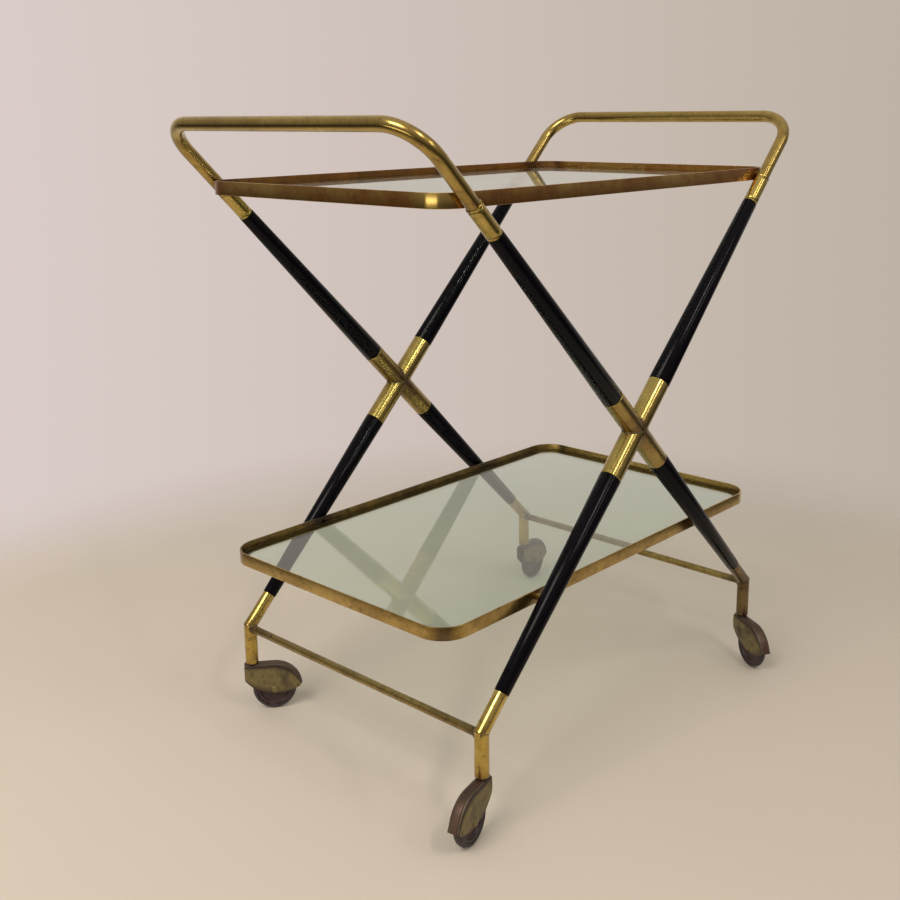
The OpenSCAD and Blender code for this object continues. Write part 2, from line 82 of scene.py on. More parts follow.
# Sizes of a caster
HOOD_HALF_W = 7 * MM
HOOD_CROWN = 0.7 * MM
HOOD_SHEET = 1.2 * MM
NOSE_REACH = 9.5 * MM
SPINE_HALF_W = 4.25 * MM
SPINE_RISE = 1.5 * MM
TAIL_RISE = 3.5 * MM
SKIRT_R = 46.5 * MM
SKIRT_LOW = 19 * MM
SKIRT_SHIFT = 3.4 * MM
PIN_R = 4 * MM
PIN_HEAD_T = 2 * MM
AXLE_R = 2.5 * MM
AXLE_HEAD_R = 4.5 * MM
AXLE_HEAD_T = 1.5 * MM
AXLE_PLAY = 0.05 * MM
TYRE_T = 5 * MM
TYRE_HALF_W = 5 * MM
TYRE_SEAT = 0.1 * MM
TREAD_R = 7 * MM
CORE_HALF_W = 4.5 * MM
RIM_T = 3.5 * MM
DISH_DEPTH = 2.5 * MM
HUB_R = 7 * MM
HUB_HALF_W = 5.5 * MM
MOULDED_EDGE = 0.6 * MM

SIDES = {"left": -1, "right": 1}
ENDS = {"front": -1, "rear": 1}
CORNERS = [(side, end) for side in SIDES for end in ENDS]
QUARTERS = [(SIDES[side], ENDS[end]) for side, end in CORNERS]
LENGTHWISE = Vector((1, 0, 0))
ACROSS = Vector((0, 1, 0))
UP = Vector((0, 0, 1))

# Sizes worked out from the frame
handle_low, handle_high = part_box("left_handle")
HANDLE_REACH = -handle_low.x - HANDLE_TUBE_R
HANDLE_HEIGHT = handle_high.z - HANDLE_TUBE_R
LEG_PLANE = handle_high.y - HANDLE_TUBE_R
JOINTS = {joint["name"]: joint for joint in frame["joints"]}
FOOT_REACH = JOINTS["right_rear_swivel"]["pos_m"][0]
LEAN = math.atan2(HANDLE_REACH + FOOT_REACH, HANDLE_HEIGHT - FOOT_HEIGHT)
LEG_LENGTH = (HANDLE_HEIGHT - FOOT_HEIGHT) / math.cos(LEAN)
CROSS_AT = HANDLE_REACH / math.sin(LEAN)
UPPER_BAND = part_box("upper_tray_band")
UPPER_FIX_Z = (UPPER_BAND[0].z + UPPER_BAND[1].z) / 2
UPPER_FIX_AT = (HANDLE_HEIGHT - UPPER_FIX_Z) / math.cos(LEAN)
FERRULE_AT = UPPER_FIX_AT + SPACER_R + SPACER_MARGIN
LEG_TOP_AT = FERRULE_AT + FERRULE_LENGTH
LEG_FOOT_AT = LEG_LENGTH - FOOT_FERRULE_LENGTH

# How finely dirt follows a surface, how much painted shade browns the bands' rear side and how fast
# that fades
MARK_STEP = 4 * MM
REAR_PAINTED_SHADE = 0.5
REAR_FALLOFF = 6


# Small helpers

def linear(hex_colour):
    """The linear colour of an sRGB hex value."""
    parts = [int(hex_colour[i:i + 2], 16) / 255 for i in (1, 3, 5)]
    return [c / 12.92 if c <= 0.04045 else ((c + 0.055) / 1.055) ** 2.4 for c in parts] + [1]


# A Mix node's colour sockets go by number, because several of its sockets share their names
MIX_A = 6
MIX_B = 7
MIX_RESULT = 2


def add(tree, kind, inputs=None, stops=None, **settings):
    """Add a node with its settings, and its inputs as links, hex colours or plain values. A node
    among the inputs stands for its first output, and a kind without Node is a shader node."""
    node = tree.nodes.new(kind if "Node" in kind else f"ShaderNode{kind}")
    for name, value in settings.items():
        setattr(node, name, value)
    for key, value in (inputs or {}).items():
        if isinstance(value, bpy.types.Node):
            value = value.outputs[0]
        if isinstance(value, str) and value.startswith("#"):
            value = linear(value)
        if isinstance(value, bpy.types.NodeSocket):
            tree.links.new(value, node.inputs[key])
        else:
            node.inputs[key].default_value = value
    if stops:
        ramp = node.color_ramp.elements
        while len(ramp) < len(stops):
            ramp.new(1)
        for element, (place, shade) in zip(ramp, stops):
            element.position = place
            element.color = linear(shade) if isinstance(shade, str) else [shade, shade, shade, 1]
    return node


def new_material(name):
    """An empty material and its tree of nodes."""
    material = bpy.data.materials.new(name)
    material.use_nodes = True
    material.node_tree.nodes.clear()
    return material, material.node_tree


def mesh_object(name, verts, faces, edges=()):
    mesh = bpy.data.meshes.new(name)
    mesh.from_pydata([tuple(v) for v in verts], edges, faces)
    mesh.update()
    piece = bpy.data.objects.new(name, mesh)
    bpy.context.scene.collection.objects.link(piece)
    return piece


SHARP_EDGE = math.radians(38)


def finish_piece(piece, material, body, slot, *replaced):
    """Shade a piece, give it its material, and let it ride on its body in place of CAD nodes."""
    mesh = piece.data
    mesh.materials.clear()
    mesh.materials.append(material)
    mesh.shade_smooth()
    mesh.set_sharp_from_angle(angle=SHARP_EDGE)
    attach(piece, body)
    if replaced:
        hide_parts(*replaced)


def grid_faces(rows, columns, wrap_rows, wrap_columns):
    """Quads over a grid of points that is stored row after row."""
    faces = []
    for i in range(rows if wrap_rows else rows - 1):
        for j in range(columns if wrap_columns else columns - 1):
            k, m = (i + 1) % rows, (j + 1) % columns
            faces.append((i * columns + j, i * columns + m, k * columns + m, k * columns + j))
    return faces


def recalculate(piece):
    """Merge doubles and point every face outwards."""
    work = bmesh.new()
    work.from_mesh(piece.data)
    bmesh.ops.remove_doubles(work, verts=work.verts, dist=0.001 * MM)
    bmesh.ops.recalc_face_normals(work, faces=work.faces)
    work.to_mesh(piece.data)
    work.free()


def store(piece, name, values):
    """Keep a number or a vector for each point of a piece."""
    vectors = isinstance(values[0], Vector)
    kept = piece.data.attributes.new(name, "FLOAT_VECTOR" if vectors else "FLOAT", "POINT")
    if vectors:
        kept.data.foreach_set("vector", [x for value in values for x in value])
    else:
        kept.data.foreach_set("value", values)


def closeness(point, places, reach):
    """1 at any of the places, falling smoothly to 0 at a distance of reach."""
    nearest = min((point - place).length for place in places)
    share = max(0.0, 1 - nearest / reach)
    return share * share * (3 - 2 * share)


def store_dirt_and_shade(piece, spots, rear_shade=0.0):
    """Keep how dirty or shaded each point is: 1 brown, 0 plain, below 0 rubbed bright. Each spot is how
    brown it is, its places and its reach, and the last argument is painted shade that browns the rear
    side."""
    points = [point.co for point in piece.data.vertices]
    rear = max(point.y for point in points)
    values = []
    for point in points:
        grime_and_shade = sum(brown * closeness(point, places, reach) for brown, places, reach in spots)
        # Painted shade: the rear side is browned more the further back it lies
        if rear_shade:
            grime_and_shade += rear_shade * max(0.0, point.y / rear) ** REAR_FALLOFF
        values.append(grime_and_shade)
    store(piece, "dirt_and_shade", values)


def spread(points, step, closed=False):
    """Add points along the longer sides of an outline, so that its dirt can change along them."""
    points = [Vector(point) for point in points]
    following = points[1:] + points[:1] if closed else points[1:]
    result = []
    for start, stop in zip(points, following):
        count = max(1, math.ceil((stop - start).length / step))
        result += [start.lerp(stop, i / count) for i in range(count)]
    return result if closed else result + [points[-1]]


def lathe(name, profile, place, loop=False, segments=96):
    """Turn a profile of (radius, height) points round the z axis of a placed frame, and keep where
    each point lies in the stock, moved so that no two pieces carry the same marks."""
    verts = []
    for i in range(segments):
        angle = 2 * math.pi * i / segments
        for r, z in profile:
            verts.append(place @ Vector((r * math.cos(angle), r * math.sin(angle), z)))
    piece = mesh_object(name, verts, grid_faces(segments, len(profile), True, loop))
    recalculate(piece)
    back = place.inverted()
    store(piece, "drawn", [back @ point.co + place.translation for point in piece.data.vertices])
    return piece


def round_profile(bore_r, r, length, edge=LIP):
    """Half the section of a tube, or of a rod where bore_r is 0, with softened outer edges."""
    return [(bore_r, 0), (r - edge, 0), (r, edge), (r, length - edge), (r - edge, length),
            (bore_r, length)]


def ring_points(middle, first, second, steps):
    """Points round an ellipse, from its middle and its two half axes."""
    angles = [2 * math.pi * i / steps for i in range(steps)]
    return [middle + first * math.cos(angle) + second * math.sin(angle) for angle in angles]


def arc(centre, r, start, stop, steps):
    """Points on an arc, angles in degrees."""
    angles = [math.radians(start + (stop - start) * i / steps) for i in range(steps + 1)]
    return [(centre[0] + r * math.cos(a), centre[1] + r * math.sin(a)) for a in angles]


def rounded_rectangle(half_length, half_width, r, steps=14):
    """The corner arcs of a tray outline from the right rear corner on; straight sides lie between."""
    points = []
    for sx, sy, start in ((1, 1, 0), (-1, 1, 90), (-1, -1, 180), (1, -1, 270)):
        centre = (sx * (half_length - r), sy * (half_width - r))
        points += arc(centre, r, start, start + 90, steps)
    return points


def leg_place(side, end, at):
    """A frame whose z runs down the leg line that starts at a side's handle bar."""
    turn = Matrix.Rotation(math.pi + side * LEAN, 4, "Y")
    start = Matrix.Translation((side * HANDLE_REACH, end * LEG_PLANE, HANDLE_HEIGHT))
    return start @ turn @ Matrix.Translation((0, 0, at))


def caster_place(corner):
    """A frame on the floor under a swivel, with x along the trail; also the trail and axle height."""
    swivel = Vector(JOINTS[f"{corner}_swivel"]["pos_m"])
    axle = Vector(JOINTS[f"{corner}_roll"]["pos_m"])
    trail = (axle - swivel).to_2d()
    yaw = math.atan2(trail.y, trail.x)
    place = Matrix.Translation((swivel.x, swivel.y, 0)) @ Matrix.Rotation(yaw, 4, "Z")
    return place, trail.length, axle.z


# Geometry node trees

def geometry_tree(name, sizes):
    """A tree that takes geometry and named sizes, and the sockets that give them inside it."""
    tree = bpy.data.node_groups.new(name, "GeometryNodeTree")
    tree.interface.new_socket(name="Geometry", in_out="INPUT", socket_type="NodeSocketGeometry")
    for label, kind in sizes.items():
        tree.interface.new_socket(name=label, in_out="INPUT", socket_type=f"NodeSocket{kind}")
    tree.interface.new_socket(name="Geometry", in_out="OUTPUT", socket_type="NodeSocketGeometry")
    return tree, tree.nodes.new("NodeGroupInput").outputs


def close_tree(tree, geometry, material):
    """End a tree in real geometry with one material."""
    real = add(tree, "GeometryNodeRealizeInstances", {"Geometry": geometry})
    finish = add(tree, "GeometryNodeSetMaterial", {"Geometry": real, "Material": material})
    add(tree, "NodeGroupOutput", {"Geometry": finish})


def sweep(tree, path, profile, caps, start):
    """Sweep a profile along a path, and keep where each point lies in the stock, z along it."""
    length = add(tree, "GeometryNodeSplineParameter").outputs["Length"]
    along = add(tree, "GeometryNodeStoreNamedAttribute", {
        "Geometry": path, "Name": "along", "Value": length}, data_type="FLOAT")
    position = add(tree, "GeometryNodeInputPosition")
    section = add(tree, "GeometryNodeStoreNamedAttribute", {
        "Geometry": profile, "Name": "section", "Value": position}, data_type="FLOAT_VECTOR")
    swept = add(tree, "GeometryNodeCurveToMesh", {
        "Curve": along, "Profile Curve": section, "Fill Caps": caps})
    length = add(tree, "GeometryNodeInputNamedAttribute", {"Name": "along"}, data_type="FLOAT")
    height = add(tree, "CombineXYZ", {"Z": length})
    side = add(tree, "GeometryNodeInputNamedAttribute", {"Name": "section"}, data_type="FLOAT_VECTOR")
    place = add(tree, "VectorMath", {0: side, 1: height})
    moved = add(tree, "VectorMath", {0: place, 1: start})
    return add(tree, "GeometryNodeStoreNamedAttribute", {
        "Geometry": swept, "Name": "drawn", "Value": moved}, data_type="FLOAT_VECTOR")


def tube_sweep_tree():
    """Sweeps a round bar along a path of edges, with an uneven skin for solder beads."""
    tree, given = geometry_tree("tube_sweep", {
        "Radius": "Float", "Unevenness": "Float", "Lumps Per Metre": "Float", "Closed": "Bool",
        "Around": "Int", "Start": "Vector", "Material": "Material"})
    path = add(tree, "GeometryNodeMeshToCurve", {"Mesh": given["Geometry"]})
    ring = add(tree, "GeometryNodeCurvePrimitiveCircle", {
        "Resolution": given["Around"], "Radius": given["Radius"]})
    open_end = add(tree, "FunctionNodeBooleanMath", {0: given["Closed"]}, operation="NOT")
    swept = sweep(tree, path, ring, open_end, given["Start"])
    lumps = add(tree, "TexNoise", {"Scale": given["Lumps Per Metre"], "Detail": 2.0})
    sunk = add(tree, "Math", {0: lumps, 1: given["Unevenness"]}, operation="MULTIPLY")
    normal = add(tree, "GeometryNodeInputNormal")
    push = add(tree, "VectorMath", {0: normal, "Scale": sunk}, operation="SCALE")
    moved = add(tree, "GeometryNodeSetPosition", {"Geometry": swept, "Offset": push})
    close_tree(tree, moved, given["Material"])
    return tree


def strip_sweep_tree():
    """Sweeps a flat strip with softened edges along a closed level path."""
    tree, given = geometry_tree("strip_sweep", {
        "Thickness": "Float", "Height": "Float", "Edge Radius": "Float", "Start": "Vector",
        "Material": "Material"})
    path = add(tree, "GeometryNodeMeshToCurve", {"Mesh": given["Geometry"]})
    level = add(tree, "GeometryNodeSetCurveNormal", {"Curve": path}, mode="Z_UP")
    section = add(tree, "GeometryNodeCurvePrimitiveQuadrilateral", {
        "Width": given["Thickness"], "Height": given["Height"]})
    soft = add(tree, "GeometryNodeFilletCurve", {
        "Curve": section, "Radius": given["Edge Radius"], "Count": 4}, mode="POLY")
    swept = sweep(tree, level, soft, False, given["Start"])
    close_tree(tree, swept, given["Material"])
    return tree


def fastener_tree():
    """Puts a copy of a small part on every point, along the point's own direction."""
    tree, given = geometry_tree("fasteners", {
        "Part": "Object", "Size": "Float", "Seed": "Int", "Material": "Material"})
    part = add(tree, "GeometryNodeObjectInfo", {"Object": given["Part"], "As Instance": True})
    out = add(tree, "GeometryNodeInputNamedAttribute", {"Name": "out"}, data_type="FLOAT_VECTOR")
    facing = add(tree, "FunctionNodeAlignRotationToVector", {"Vector": out}, axis="Z")
    # Sockets 2 and 3 are a random number's least and greatest value, and output 1 is the number
    spin = add(tree, "FunctionNodeRandomValue", {
        2: 0.0, 3: 2 * math.pi, "Seed": given["Seed"]}, data_type="FLOAT").outputs[1]
    twist = add(tree, "FunctionNodeAxisAngleToRotation", {"Axis": (0, 0, 1), "Angle": spin})
    turned = add(tree, "FunctionNodeRotateRotation", {
        "Rotation": facing, "Rotate By": twist}, rotation_space="LOCAL")
    points = add(tree, "GeometryNodeMeshToPoints", {"Mesh": given["Geometry"]})
    placed = add(tree, "GeometryNodeInstanceOnPoints", {
        "Points": points, "Instance": part.outputs["Geometry"],
        "Rotation": turned, "Scale": given["Size"]})
    close_tree(tree, placed, given["Material"])
    return tree


def settled_mesh(source):
    """The plain mesh that an object's modifiers make."""
    bpy.context.view_layer.update()
    ready = source.evaluated_get(bpy.context.evaluated_depsgraph_get())
    return bpy.data.meshes.new_from_object(ready)


def grow(name, source, tree, **sizes):
    """Run a tree on a source object, keep the result as a plain mesh and drop the source."""
    modifier = source.modifiers.new(name, "NODES")
    modifier.node_group = tree
    sockets = {item.name: item.identifier for item in tree.interface.items_tree
               if item.item_type == "SOCKET" and item.in_out == "INPUT"}
    for label, value in sizes.items():
        modifier[sockets[label.replace("_", " ")]] = value
    mesh = settled_mesh(source)
    mesh.name = name
    bpy.data.objects.remove(source)
    piece = bpy.data.objects.new(name, mesh)
    bpy.context.scene.collection.objects.link(piece)
    recalculate(piece)
    return piece


def path_object(points, closed):
    """A path of edges for a sweep to follow."""
    edges = [(i, i + 1) for i in range(len(points) - 1)]
    if closed:
        edges.append((len(points) - 1, 0))
    return mesh_object("path", points, [], edges)


# Materials

def aged_brass(name, colours, cover, roughness=0.18, speckle=0.4, patch=55.0, contrast=1.0,
               own_frame=True):
    """Drawn or rolled brass under the thin rest of a clear lacquer, in four colours from bright,
    where hands rub it, over dull and stained to deep brown, where dirt stays. cover runs from 0, all
    bright, to 1, all stained, patch is the width of its clouds in mm, and contrast how far they
    part. own_frame reads the place in the stock that a piece keeps; a CAD node keeps none."""
    material, tree = new_material(name)
    if own_frame:
        place = add(tree, "Attribute", attribute_name="drawn").outputs["Vector"]
    else:
        place = add(tree, "TexCoord").outputs["Object"]
    # This point attribute holds dirt, and on the tray bands painted shade as well
    dirt_and_shade = add(tree, "Attribute", attribute_name="dirt_and_shade").outputs["Fac"]
    clouds = add(tree, "TexNoise", {
        "Vector": place, "Scale": 1 / (patch * MM), "Detail": 5.0, "Roughness": 0.62})
    # Finger marks and drips some 9 mm wide
    marks = add(tree, "TexNoise", {
        "Vector": place, "Scale": 1 / (9 * MM), "Detail": 5.0, "Roughness": 0.65, "Distortion": 0.5})
    # Draw marks about 1.5 mm wide that run twenty times as far along the stock
    drawn_out = add(tree, "VectorMath", {0: place, 1: (1, 1, 0.05)}, operation="MULTIPLY")
    streaks = add(tree, "TexNoise", {"Vector": drawn_out, "Scale": 1 / (1.5 * MM), "Detail": 3.0})
    tone = add(tree, "MapRange", {
        "Value": clouds, "To Min": 0.25 - 0.25 * contrast, "To Max": 0.25 + 0.25 * contrast},
        clamp=False)
    for part, weight in ((marks, 0.22), (streaks, 0.1), (dirt_and_shade, 0.35)):
        tone = add(tree, "Math", {0: part, 1: weight, 2: tone}, operation="MULTIPLY_ADD")
    middle = 0.41 - 0.24 * (cover - 0.5)
    places = [middle + shift for shift in (-0.15, 0.03, 0.19, 0.36)]
    colour = add(tree, "ValToRGB", {"Fac": tone}, stops=list(zip(places, colours)))
    # Tarnish spots some 1.5 mm across, only here and there
    spots = add(tree, "TexNoise", {
        "Vector": place, "Scale": 1 / (1.5 * MM), "Detail": 3.0, "Roughness": 0.7})
    field = add(tree, "Math", {0: marks, 1: spots}, operation="ADD")
    spotted = add(tree, "MapRange", {
        "Value": field, "From Min": 1.13, "From Max": 1.22, "To Max": speckle})
    colour = add(tree, "Mix", {"Factor": spotted, MIX_A: colour, MIX_B: "#33241A"}, data_type="RGBA")
    rough = add(tree, "MapRange", {
        "Value": tone, "From Min": middle - 0.12, "From Max": middle + 0.3,
        "To Min": roughness, "To Max": roughness + 0.26})
    dents = add(tree, "TexNoise", {"Vector": place, "Scale": 1 / (16 * MM), "Detail": 1.0})
    wave = add(tree, "Bump", {"Height": dents, "Strength": 0.05, "Distance": 0.4 * MM})
    fine = add(tree, "Bump", {
        "Height": streaks, "Strength": 0.06, "Distance": 0.1 * MM, "Normal": wave})
    surface = add(tree, "BsdfPrincipled", {
        "Base Color": colour.outputs[MIX_RESULT], "Metallic": 1.0, "Roughness": rough,
        "Normal": fine, "Coat Weight": 0.5, "Coat Roughness": 0.16})
    add(tree, "OutputMaterial", {"Surface": surface})
    return material


def lacquered_wood(name):
    """Turned beech under thick black lacquer: a deep gloss with faint turning waves, dull dust and
    a few worn flecks."""
    material, tree = new_material(name)
    place = add(tree, "Attribute", attribute_name="drawn").outputs["Vector"]
    dust = add(tree, "TexNoise", {
        "Vector": place, "Scale": 1 / (9 * MM), "Detail": 6.0, "Roughness": 0.7})
    rough = add(tree, "MapRange", {
        "Value": dust, "From Min": 0.3, "From Max": 0.75, "To Min": 0.10, "To Max": 0.24})
    flecks = add(tree, "TexNoise", {
        "Vector": place, "Scale": 1 / (2.5 * MM), "Detail": 3.0, "Roughness": 0.8})
    worn = add(tree, "ValToRGB", {"Fac": flecks}, stops=[(0.72, 0.0), (0.80, 0.5)])
    colour = add(tree, "Mix", {"Factor": worn, MIX_A: "#08060A", MIX_B: "#403430"}, data_type="RGBA")
    waves = add(tree, "TexNoise", {"Vector": place, "Scale": 1 / (18 * MM), "Detail": 2.0})
    bump = add(tree, "Bump", {"Height": waves, "Strength": 0.2, "Distance": 0.4 * MM})
    surface = add(tree, "BsdfPrincipled", {
        "Base Color": colour.outputs[MIX_RESULT], "Roughness": rough, "IOR": 1.5,
        "Specular IOR Level": 0.1, "Normal": bump})
    add(tree, "OutputMaterial", {"Surface": surface})
    return material


def float_glass(name):
    """Clear float glass with a faint green grey tint and a dusty wiped film."""
    material, tree = new_material(name)
    place = add(tree, "TexCoord").outputs["Object"]
    film = add(tree, "TexNoise", {
        "Vector": place, "Scale": 1 / (70 * MM), "Detail": 6.0, "Distortion": 1.2})
    rough = add(tree, "MapRange", {
        "Value": film, "From Min": 0.35, "From Max": 0.7, "To Min": 0.0, "To Max": 0.03})
    surface = add(tree, "BsdfPrincipled", {
        "Base Color": "#E6F6EE", "Roughness": rough, "IOR": 1.52, "Transmission Weight": 1.0})
    # Lamps and the light that the floor gives back go straight through, so no patch is lit twice
    path = add(tree, "LightPath").outputs
    straight = add(tree, "Math", {0: path["Is Shadow Ray"], 1: path["Is Diffuse Ray"]},
                   operation="MAXIMUM")
    clear = add(tree, "BsdfTransparent", {"Color": "#F1F5F2"})
    mixed = add(tree, "MixShader", {0: straight, 1: surface, 2: clear})
    add(tree, "OutputMaterial", {"Surface": mixed})
    return material


def patinated_brass(name):
    """Pressed brass of the caster hoods, never polished. "rim" runs from 0 on the plates' middle to 1
    on the shoulder and 2 along the spine: olive plates, a dark shoulder in painted shade where the hood
    curves away, a paler line beside the spine and a reddish brown spine."""
    material, tree = new_material(name)
    place = add(tree, "TexCoord").outputs["Object"]
    rim = add(tree, "Attribute", attribute_name="rim").outputs["Fac"]
    clouds = add(tree, "TexNoise", {
        "Vector": place, "Scale": 1 / (16 * MM), "Detail": 6.0, "Roughness": 0.6, "Distortion": 0.3})
    plate = add(tree, "ValToRGB", {"Fac": clouds},
                stops=[(0.32, "#4E4332"), (0.44, "#6C6044"), (0.54, "#82764E"), (0.62, "#786A48"),
                       (0.72, "#66503C")])
    crust = add(tree, "TexNoise", {
        "Vector": place, "Scale": 1 / (2.2 * MM), "Detail": 4.0, "Roughness": 0.7})
    # The bands wander by about a tenth where the crust is thick
    ragged = add(tree, "MapRange", {"Value": crust, "To Min": -0.12, "To Max": 0.12}, clamp=False)
    bent = add(tree, "Math", {0: rim, 1: ragged}, operation="ADD")
    half = add(tree, "Math", {0: bent, 1: 0.5}, operation="MULTIPLY")
    # Painted shade: the dark stop falls on the shoulder, where the hood curves away from the light
    press = add(tree, "ValToRGB", {"Fac": half},
                stops=[(0.26, "#524539"), (0.46, "#302726"), (0.57, "#6E6152"), (0.66, "#4E3C36"),
                       (0.95, "#58443A")])
    border = add(tree, "MapRange", {
        "Value": bent, "From Min": 0.05, "From Max": 0.75}, interpolation_type="SMOOTHSTEP")
    colour = add(tree, "Mix", {"Factor": border, MIX_A: plate, MIX_B: press}, data_type="RGBA")
    # Dark pits in the crust
    pits = add(tree, "MapRange", {"Value": crust, "From Min": 0.42, "From Max": 0.30, "To Max": 0.55})
    colour = add(tree, "Mix", {
        "Factor": pits, MIX_A: colour.outputs[MIX_RESULT], MIX_B: "#2A2020"}, data_type="RGBA")
    rough = add(tree, "MapRange", {
        "Value": clouds, "From Min": 0.3, "From Max": 0.7, "To Min": 0.36, "To Max": 0.55})
    bump = add(tree, "Bump", {"Height": crust, "Strength": 0.3, "Distance": 0.2 * MM})
    surface = add(tree, "BsdfPrincipled", {
        "Base Color": colour.outputs[MIX_RESULT], "Metallic": 0.7, "Roughness": rough,
        "Normal": bump})
    add(tree, "OutputMaterial", {"Surface": surface})
    return material


def dark_steel(name):
    """Mild steel washers and pins under an oily brown film."""
    material, tree = new_material(name)
    place = add(tree, "TexCoord").outputs["Object"]
    film = add(tree, "TexNoise", {"Vector": place, "Scale": 1 / (3 * MM), "Detail": 5.0})
    colour = add(tree, "ValToRGB", {"Fac": film},
                 stops=[(0.35, "#1C1615"), (0.52, "#3A2F2C"), (0.70, "#6A5D54")])
    rough = add(tree, "MapRange", {"Value": film, "To Min": 0.6, "To Max": 0.35})
    bump = add(tree, "Bump", {"Height": film, "Strength": 0.3, "Distance": 0.1 * MM})
    surface = add(tree, "BsdfPrincipled", {
        "Base Color": colour, "Metallic": 0.9, "Roughness": rough, "Normal": bump})
    add(tree, "OutputMaterial", {"Surface": surface})
    return material


def hard_rubber(name, base, dusty, roughness):
    """Vulcanised rubber gone hard: nearly black with a reddish cast, dusty where it rolls."""
    material, tree = new_material(name)
    place = add(tree, "TexCoord").outputs["Object"]
    wear = add(tree, "TexNoise", {
        "Vector": place, "Scale": 1 / (6 * MM), "Detail": 6.0, "Roughness": 0.7})
    mask = add(tree, "ValToRGB", {"Fac": wear}, stops=[(0.45, 0.0), (0.72, 1.0)])
    colour = add(tree, "Mix", {"Factor": mask, MIX_A: base, MIX_B: dusty}, data_type="RGBA")
    rough = add(tree, "MapRange", {"Value": mask, "To Min": roughness, "To Max": roughness + 0.25})
    grit = add(tree, "TexNoise", {"Vector": place, "Scale": 1 / (0.8 * MM), "Detail": 3.0})
    bump = add(tree, "Bump", {"Height": grit, "Strength": 0.3, "Distance": 0.1 * MM})
    surface = add(tree, "BsdfPrincipled", {
        "Base Color": colour.outputs[MIX_RESULT], "Roughness": rough, "IOR": 1.52, "Normal": bump})
    add(tree, "OutputMaterial", {"Surface": surface})
    return material


handle_brass = aged_brass(
    "drawn_brass_handle", ("#D2B664", "#AC9048", "#7A5A30", "#46301E"), cover=0.42, roughness=0.14,
    contrast=0.8)
ferrule_brass = aged_brass(
    "drawn_brass_ferrule", ("#D4BA66", "#B09648", "#7C5E32", "#44301E"), cover=0.45)
sleeve_brass = aged_brass(
    "drawn_brass_sleeve", ("#D2B86A", "#A89048", "#7E6436", "#4A3422"), cover=0.4, roughness=0.13,
    contrast=0.6)
# A darker copy of the sleeve brass: painted shade for the duller look of the sleeve that runs through
shaded_sleeve_brass = aged_brass(
    "drawn_brass_shaded_sleeve", ("#BCA256", "#987E40", "#6E522E", "#3E2C1E"), cover=0.5, roughness=0.2)
foot_brass = aged_brass(
    "drawn_brass_foot", ("#DEC26C", "#B89C48", "#785A30", "#3C2A1C"), cover=0.42, roughness=0.14,
    speckle=0.8)
dark_foot_brass = aged_brass(
    "drawn_brass_dark_foot", ("#9A8054", "#74603A", "#503A26", "#2E221A"), cover=0.55, roughness=0.24,
    speckle=0.7)
rod_brass = aged_brass(
    "drawn_brass_rod", ("#B49C5A", "#8E7842", "#64502E", "#3A2A20"), cover=0.5, roughness=0.22,
    speckle=0.9, patch=26.0)
upper_band_brass = aged_brass(
    "rolled_brass_upper_band", ("#D8B664", "#AA7434", "#7C562C", "#402E1E"), cover=0.42,
    roughness=0.22, speckle=0.3, patch=80.0)
lower_band_brass = aged_brass(
    "rolled_brass_lower_band", ("#D2B466", "#A68844", "#6E5630", "#3A2E1E"), cover=0.45,
    roughness=0.22, speckle=0.5, patch=70.0)
ledge_brass = aged_brass(
    "rolled_brass_ledge", ("#96804E", "#74603A", "#503C28", "#32241A"), cover=0.55, roughness=0.38,
    own_frame=False)
screw_brass = aged_brass(
    "turned_brass_screw", ("#BCA25C", "#846A3A", "#5A4428", "#36261A"), cover=0.5, roughness=0.3,
    patch=12.0, own_frame=False)
solder_grey = aged_brass(
    "soft_solder", ("#8A7C58", "#645238", "#443426", "#2A1E1A"), cover=0.5, roughness=0.4, patch=8.0)
hood_brass = patinated_brass("pressed_brass_hood")
lacquer = lacquered_wood("black_lacquered_beech")
glass = float_glass("float_glass")
steel = dark_steel("mild_steel")
core_rubber = hard_rubber("hard_rubber_core", "#2E1D1E", "#4A3636", 0.42)
tyre_rubber = hard_rubber("hard_rubber_tyre", "#1F1617", "#45383A", 0.45)

TUBE_SWEEP = tube_sweep_tree()
STRIP_SWEEP = strip_sweep_tree()
FASTENERS = fastener_tree()


# Handles

def make_handle(word, side):
    """One bent tube: bar, two bends and two ends that run down into the ferrules."""
    place = leg_place(side, 0, 0)
    straight = LEG_PLANE - HANDLE_BEND_R
    end_at = FERRULE_AT + FERRULE_LENGTH / 3
    outline = [(-LEG_PLANE, end_at)]
    outline += arc((-straight, HANDLE_BEND_R), HANDLE_BEND_R, 180, 270, 20)
    outline += arc((straight, HANDLE_BEND_R), HANDLE_BEND_R, 270, 360, 20)
    outline += [(LEG_PLANE, end_at)]
    points = [place @ Vector((0, y, z)) for y, z in spread(outline, MARK_STEP)]
    piece = grow(f"{word}_handle_tube", path_object(points, False), TUBE_SWEEP,
                 Radius=HANDLE_TUBE_R, Unevenness=0.0, Lumps_Per_Metre=0.0, Closed=False, Around=64,
                 Start=points[0], Material=handle_brass)
    mouths = [leg_place(side, end, FERRULE_AT).translation for end in ENDS.values()]
    bends = [place @ Vector((0, end * LEG_PLANE, HANDLE_BEND_R)) for end in ENDS.values()]
    store_dirt_and_shade(piece, [(0.3, mouths, 50 * MM), (0.15, bends, 50 * MM)])
    finish_piece(piece, handle_brass, "frame", "brass", f"{word}_handle")


